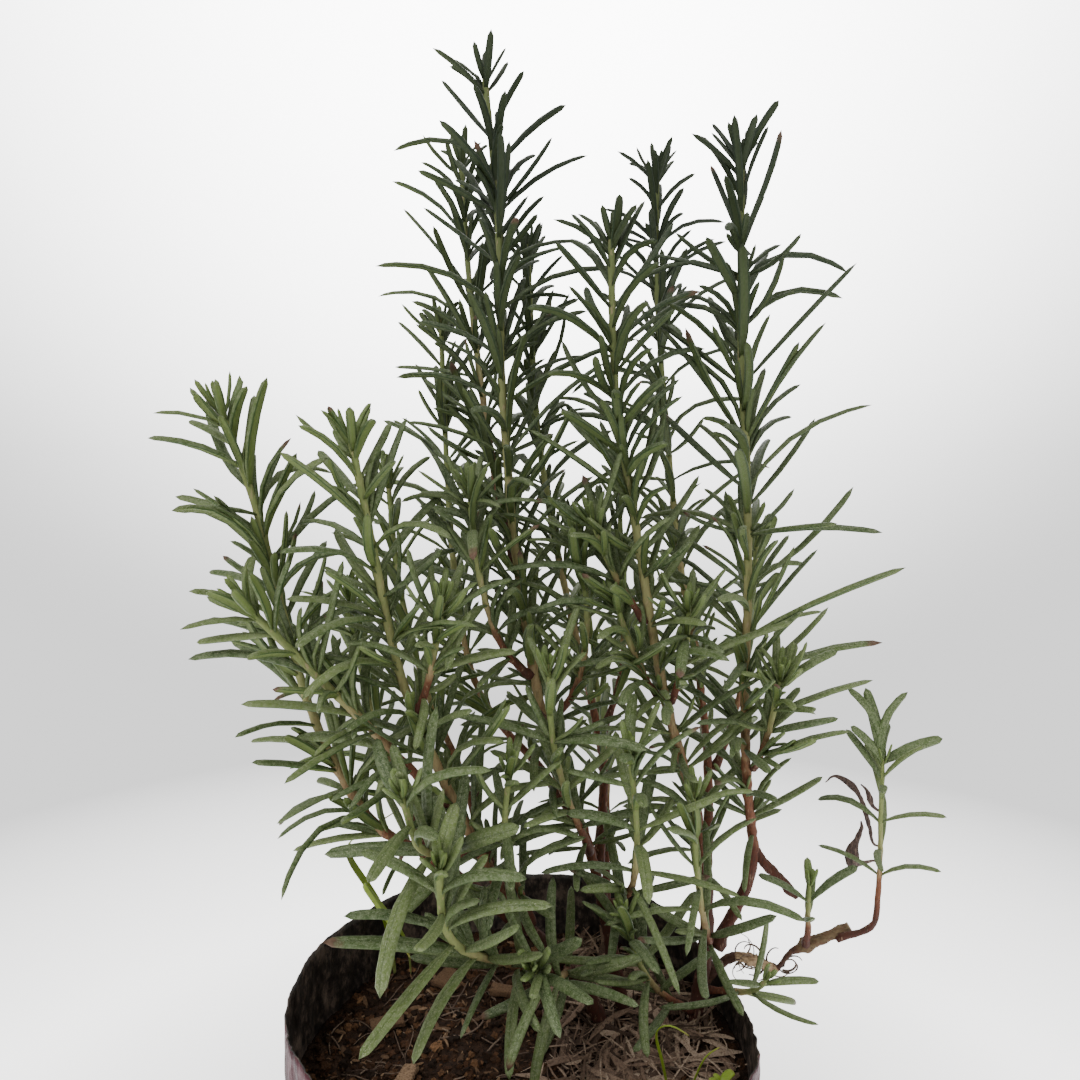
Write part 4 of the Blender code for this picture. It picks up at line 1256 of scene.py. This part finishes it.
def straw_litter(ground, looks):
    """Shredded straw, matted over the right of the bag."""
    chance = random.Random("straw")
    heap = Heap()
    for x, y in spots_on_soil(chance, STRAWS, lambda x, y: chance.random() < straw_share(x, y)):
        length = chance.uniform(5.0, 22.0) * MM
        wide = (0.45 + 2.6 * chance.random() ** 2.4) * MM
        turn = chance.uniform(0, math.tau)
        tilt = chance.gauss(0, 0.14)
        matrix = resting(ground, x * 0.94, y * 0.94, turn, tilt, chance.uniform(0.1, 3.0) * MM)
        sliver(heap, chance.betavariate(1.5, 1.6), matrix, length, wide, wide * 0.45, chance)
    heap.finish("straw_litter", looks["straw"], smooth=False)


def flakes(ground, looks):
    """Small chips of bark and wood, all over the potting mix."""
    chance = random.Random("flakes")
    heap = Heap()
    for x, y in spots_on_soil(chance, FLAKES, lambda x, y: chance.random() > 0.75 * straw_share(x, y)):
        length = (1.4 + 5.5 * chance.random() ** 2.6) * MM
        wide = length * chance.uniform(0.16, 0.42)
        turn = chance.uniform(0, math.tau)
        matrix = resting(ground, x * 0.95, y * 0.95, turn, chance.gauss(0, 0.3), 0.7 * MM)
        sliver(heap, chance.betavariate(1.3, 2.2), matrix, length, wide, wide * 0.35, chance, 5)
    heap.finish("bark_flakes", looks["chip"], smooth=False)


def thin_roots(ground, looks):
    """Thin roots and fibres that wander over the soil."""
    chance = random.Random("roots")
    heap = Heap()
    for x, y in spots_on_soil(chance, ROOTS, lambda x, y: True):
        length = chance.uniform(7.0, 26.0) * MM
        heading = chance.uniform(0, math.tau)
        curl = chance.gauss(0, 45.0)
        size = chance.uniform(0.12, 0.34) * MM
        tone = chance.betavariate(2.0, 1.8)
        arch = chance.uniform(0.3, 0.9)
        place = Vector((x * 0.9, y * 0.9, 0.0))
        spots = []
        for step in range(9):
            heading += (curl + chance.gauss(0, 30.0)) * length / 9
            place = place + Vector((math.cos(heading), math.sin(heading), 0.0)) * length / 9
            if place.length > SOIL_REACH:
                break
            lift = (0.3 + 1.6 * arch * math.sin(math.pi * step / 9)) * MM
            lying = Vector((place.x, place.y, ground.height(place.x, place.y) + lift))
            spots.append((lying, None, size, size))
        if len(spots) < 4:
            continue
        bm = bmesh.new()
        sweep(bm, with_ways(spots), 4)
        heap.add(bm, tone)
    heap.finish("soil_roots", looks["root"])


def with_ways(spots):
    """The same spots, each with the direction of the line through its neighbours."""
    turned = []
    for index, (place, _, wide, thick) in enumerate(spots):
        before = spots[max(0, index - 1)][0]
        after = spots[min(len(spots) - 1, index + 1)][0]
        turned.append((place, (after - before).normalized(), wide, thick))
    return turned


def rough_copy(name, piece, look, strength):
    """A CAD bit with a rough skin, in its place."""
    chance = random.Random(name)
    bm = merged(name)
    bmesh.ops.dissolve_limit(bm, angle_limit=0.02, verts=bm.verts, edges=bm.edges)
    bmesh.ops.triangulate(bm, faces=bm.faces)
    bmesh.ops.subdivide_edges(bm, edges=bm.edges, cuts=3, use_grid_fill=True)
    mark_all(bm.verts, bm.verts.layers.float_vector.new("bit_kind"), chance.uniform(0.35, 0.75))
    bm.normal_update()
    for vert in bm.verts:
        lump = noise.noise(vert.co * 420.0) + 0.6 * noise.noise(vert.co * 1400.0)
        vert.co += vert.normal * lump * strength
    bmesh.ops.recalc_face_normals(bm, faces=bm.faces)
    add_piece(piece, bm, [look], [name])


def loose_bits(looks):
    """The larger chips and straws, which the CAD has too."""
    for name in sorted(NODES):
        if name.startswith("wood_chip_"):
            rough_copy(name, name.replace("wood_chip", "bark_chip"), looks["chip"], 0.45 * MM)
        if name.startswith("straw_"):
            rough_copy(name, name.replace("straw", "long_straw"), looks["straw"], 0.2 * MM)


# ---- weeds ----

def weeds(looks):
    """Grass blades: a shallow channel in section, drawn along each CAD blade."""
    for name in sorted(NODES):
        if not name.startswith("grass_"):
            continue
        bm = merged(name)
        rings = read_rings(bm, True)
        bm.free()
        spots = with_ways([(ring.centre, None, ring.wide, 0.25 * MM) for ring in rings])
        fine = bmesh.new()
        where = fine.verts.layers.float_vector.new("leaf_place")
        count = len(spots)

        def mark(verts, index):
            place, way, wide, _ = spots[index]
            for number, vert in enumerate(verts):
                share = (vert.co - place).dot(rings[index].side) / max(1e-9, wide)
                vert[where] = (share, index / (count - 1), 0.0)
                vert.co += way.cross(rings[index].side) * (share * share * 0.35 * wide)

        sweep(fine, spots, 8, rings[0].side, mark)
        piece = add_piece(name + "_blade", fine, [looks["grass"]], [name])
        smooth = piece.modifiers.new("Smooth", "SUBSURF")
        smooth.levels = smooth.render_levels = 1


# ---- floor, light and camera ----

def floor():
    """A pale round floor that fades into the studio's background. It glows though it is no lamp, as painted
    light, and glows less near the plant, as a painted shadow.
    """
    bm = bmesh.new()
    bmesh.ops.create_circle(bm, cap_ends=True, segments=96, radius=FLOOR_RADIUS)
    mesh = bpy.data.meshes.new("studio_floor")
    bm.to_mesh(mesh)
    bm.free()
    made = placed("studio_floor", mesh)
    look = Look("studio_floor", Roughness=0.9, Specular_IOR_Level=0.1, Emission_Color=(1.0, 1.0, 1.0, 1.0))
    place = look.place()
    away = look.add("ShaderNodeVectorMath", {0: place}, operation="LENGTH").outputs["Value"]
    grain = look.noise(place, 9.0, 2.0)
    colour = look.mix(grain, (0.8, 0.8, 0.8), (0.84, 0.84, 0.84))
    # painted light: the floor glows, and glows less within 0.32 m of the middle as a painted shadow round the
    # plant
    glow = look.span(away, 0.1, 0.32, FLOOR_GLOW * 0.35, FLOOR_GLOW)
    fade = look.span(away, 0.3, 0.64, 1.0, 0.0)
    mesh.materials.append(look.use(Base_Color=colour, Emission_Strength=glow, Alpha=fade))


def background():
    """A pale wall, brighter upwards and behind the plant. The light that it casts is softer than it looks."""
    world = bpy.data.worlds.new("studio")
    bpy.context.scene.world = world
    world.use_nodes = True
    world.node_tree.nodes.clear()
    sky = Nodes(world.node_tree)
    way = sky.add("ShaderNodeTexCoord").outputs["Generated"]
    level = sky.ramp(sky.parts(way)[2], (0.0, (0.3, 0.3, 0.3)), (0.42, (0.5, 0.5, 0.5)))
    brightest = (0.0, 0.86, 0.5)
    away = sky.add("ShaderNodeVectorMath", {0: way, 1: brightest}, operation="DISTANCE").outputs["Value"]
    wires = {"Value": away, "From Min": 0.05, "From Max": 0.85, "To Min": 1.9, "To Max": 0.0}
    glow = sky.add("ShaderNodeMapRange", wires, interpolation_type="SMOOTHSTEP").outputs[0]
    colour = sky.add("ShaderNodeVectorMath", {0: level, 1: glow}).outputs[0]
    seen = sky.add("ShaderNodeBackground", {0: colour, 1: WALL_SEEN}).outputs[0]
    cast = sky.add("ShaderNodeBackground", {0: (1.0, 0.98, 0.93, 1.0), 1: WALL_CAST}).outputs[0]
    camera_ray = sky.add("ShaderNodeLightPath").outputs["Is Camera Ray"]
    choice = sky.add("ShaderNodeMixShader", {0: camera_ray, 1: cast, 2: seen}).outputs[0]
    sky.add("ShaderNodeOutputWorld", {0: choice})


def add_light(name, place, aim, size, power):
    """A round soft light."""
    data = bpy.data.lights.new(name, "AREA")
    data.shape = "DISK"
    data.size = size
    data.energy = power
    made = placed(name, data)
    made.location = place
    made.rotation_euler = (Vector(aim) - Vector(place)).to_track_quat("-Z", "Y").to_euler()


def studio():
    """Floor, wall, lights and camera."""
    floor()
    background()
    for light in LIGHTS:
        add_light(*light)
    data = bpy.data.cameras.new("camera")
    data.lens = LENS
    data.clip_start = 0.01
    camera = placed("camera", data)
    camera.location = CAMERA_PLACE
    camera.rotation_euler = (math.radians(90 - CAMERA_DOWN), 0.0, 0.0)
    bpy.context.scene.camera = camera


LOOKS = {
    "leaf": leaf_look(),
    "bark": bark_look(),
    "creeping_wood": creeping_wood_look(),
    "dead_leaf": dead_leaf_look(),
    "soil": soil_look(),
    "film_outside": film_look(True),
    "film_inside": film_look(False),
    "grass": grass_look(),
    "crumb": bits_look("soil_crumb", (0.008, 0.004, 0.002), (0.06, 0.026, 0.011), (0.21, 0.11, 0.052)),
    "straw": bits_look("straw_sliver", (0.036, 0.021, 0.014), (0.205, 0.138, 0.098), (0.5, 0.385, 0.29)),
    "chip": bits_look("wood_flake", (0.04, 0.021, 0.012), (0.15, 0.088, 0.048), (0.43, 0.3, 0.19)),
    "root": bits_look("thin_root", (0.05, 0.03, 0.022), (0.13, 0.09, 0.065), (0.26, 0.19, 0.14)),
}
film_surface = bag(LOOKS)
ground = Ground(film_surface)
soil(ground, LOOKS)
crumbs(ground, LOOKS)
straw_litter(ground, LOOKS)
flakes(ground, LOOKS)
thin_roots(ground, LOOKS)
loose_bits(LOOKS)
weeds(LOOKS)
rosemary(LOOKS)
studio()
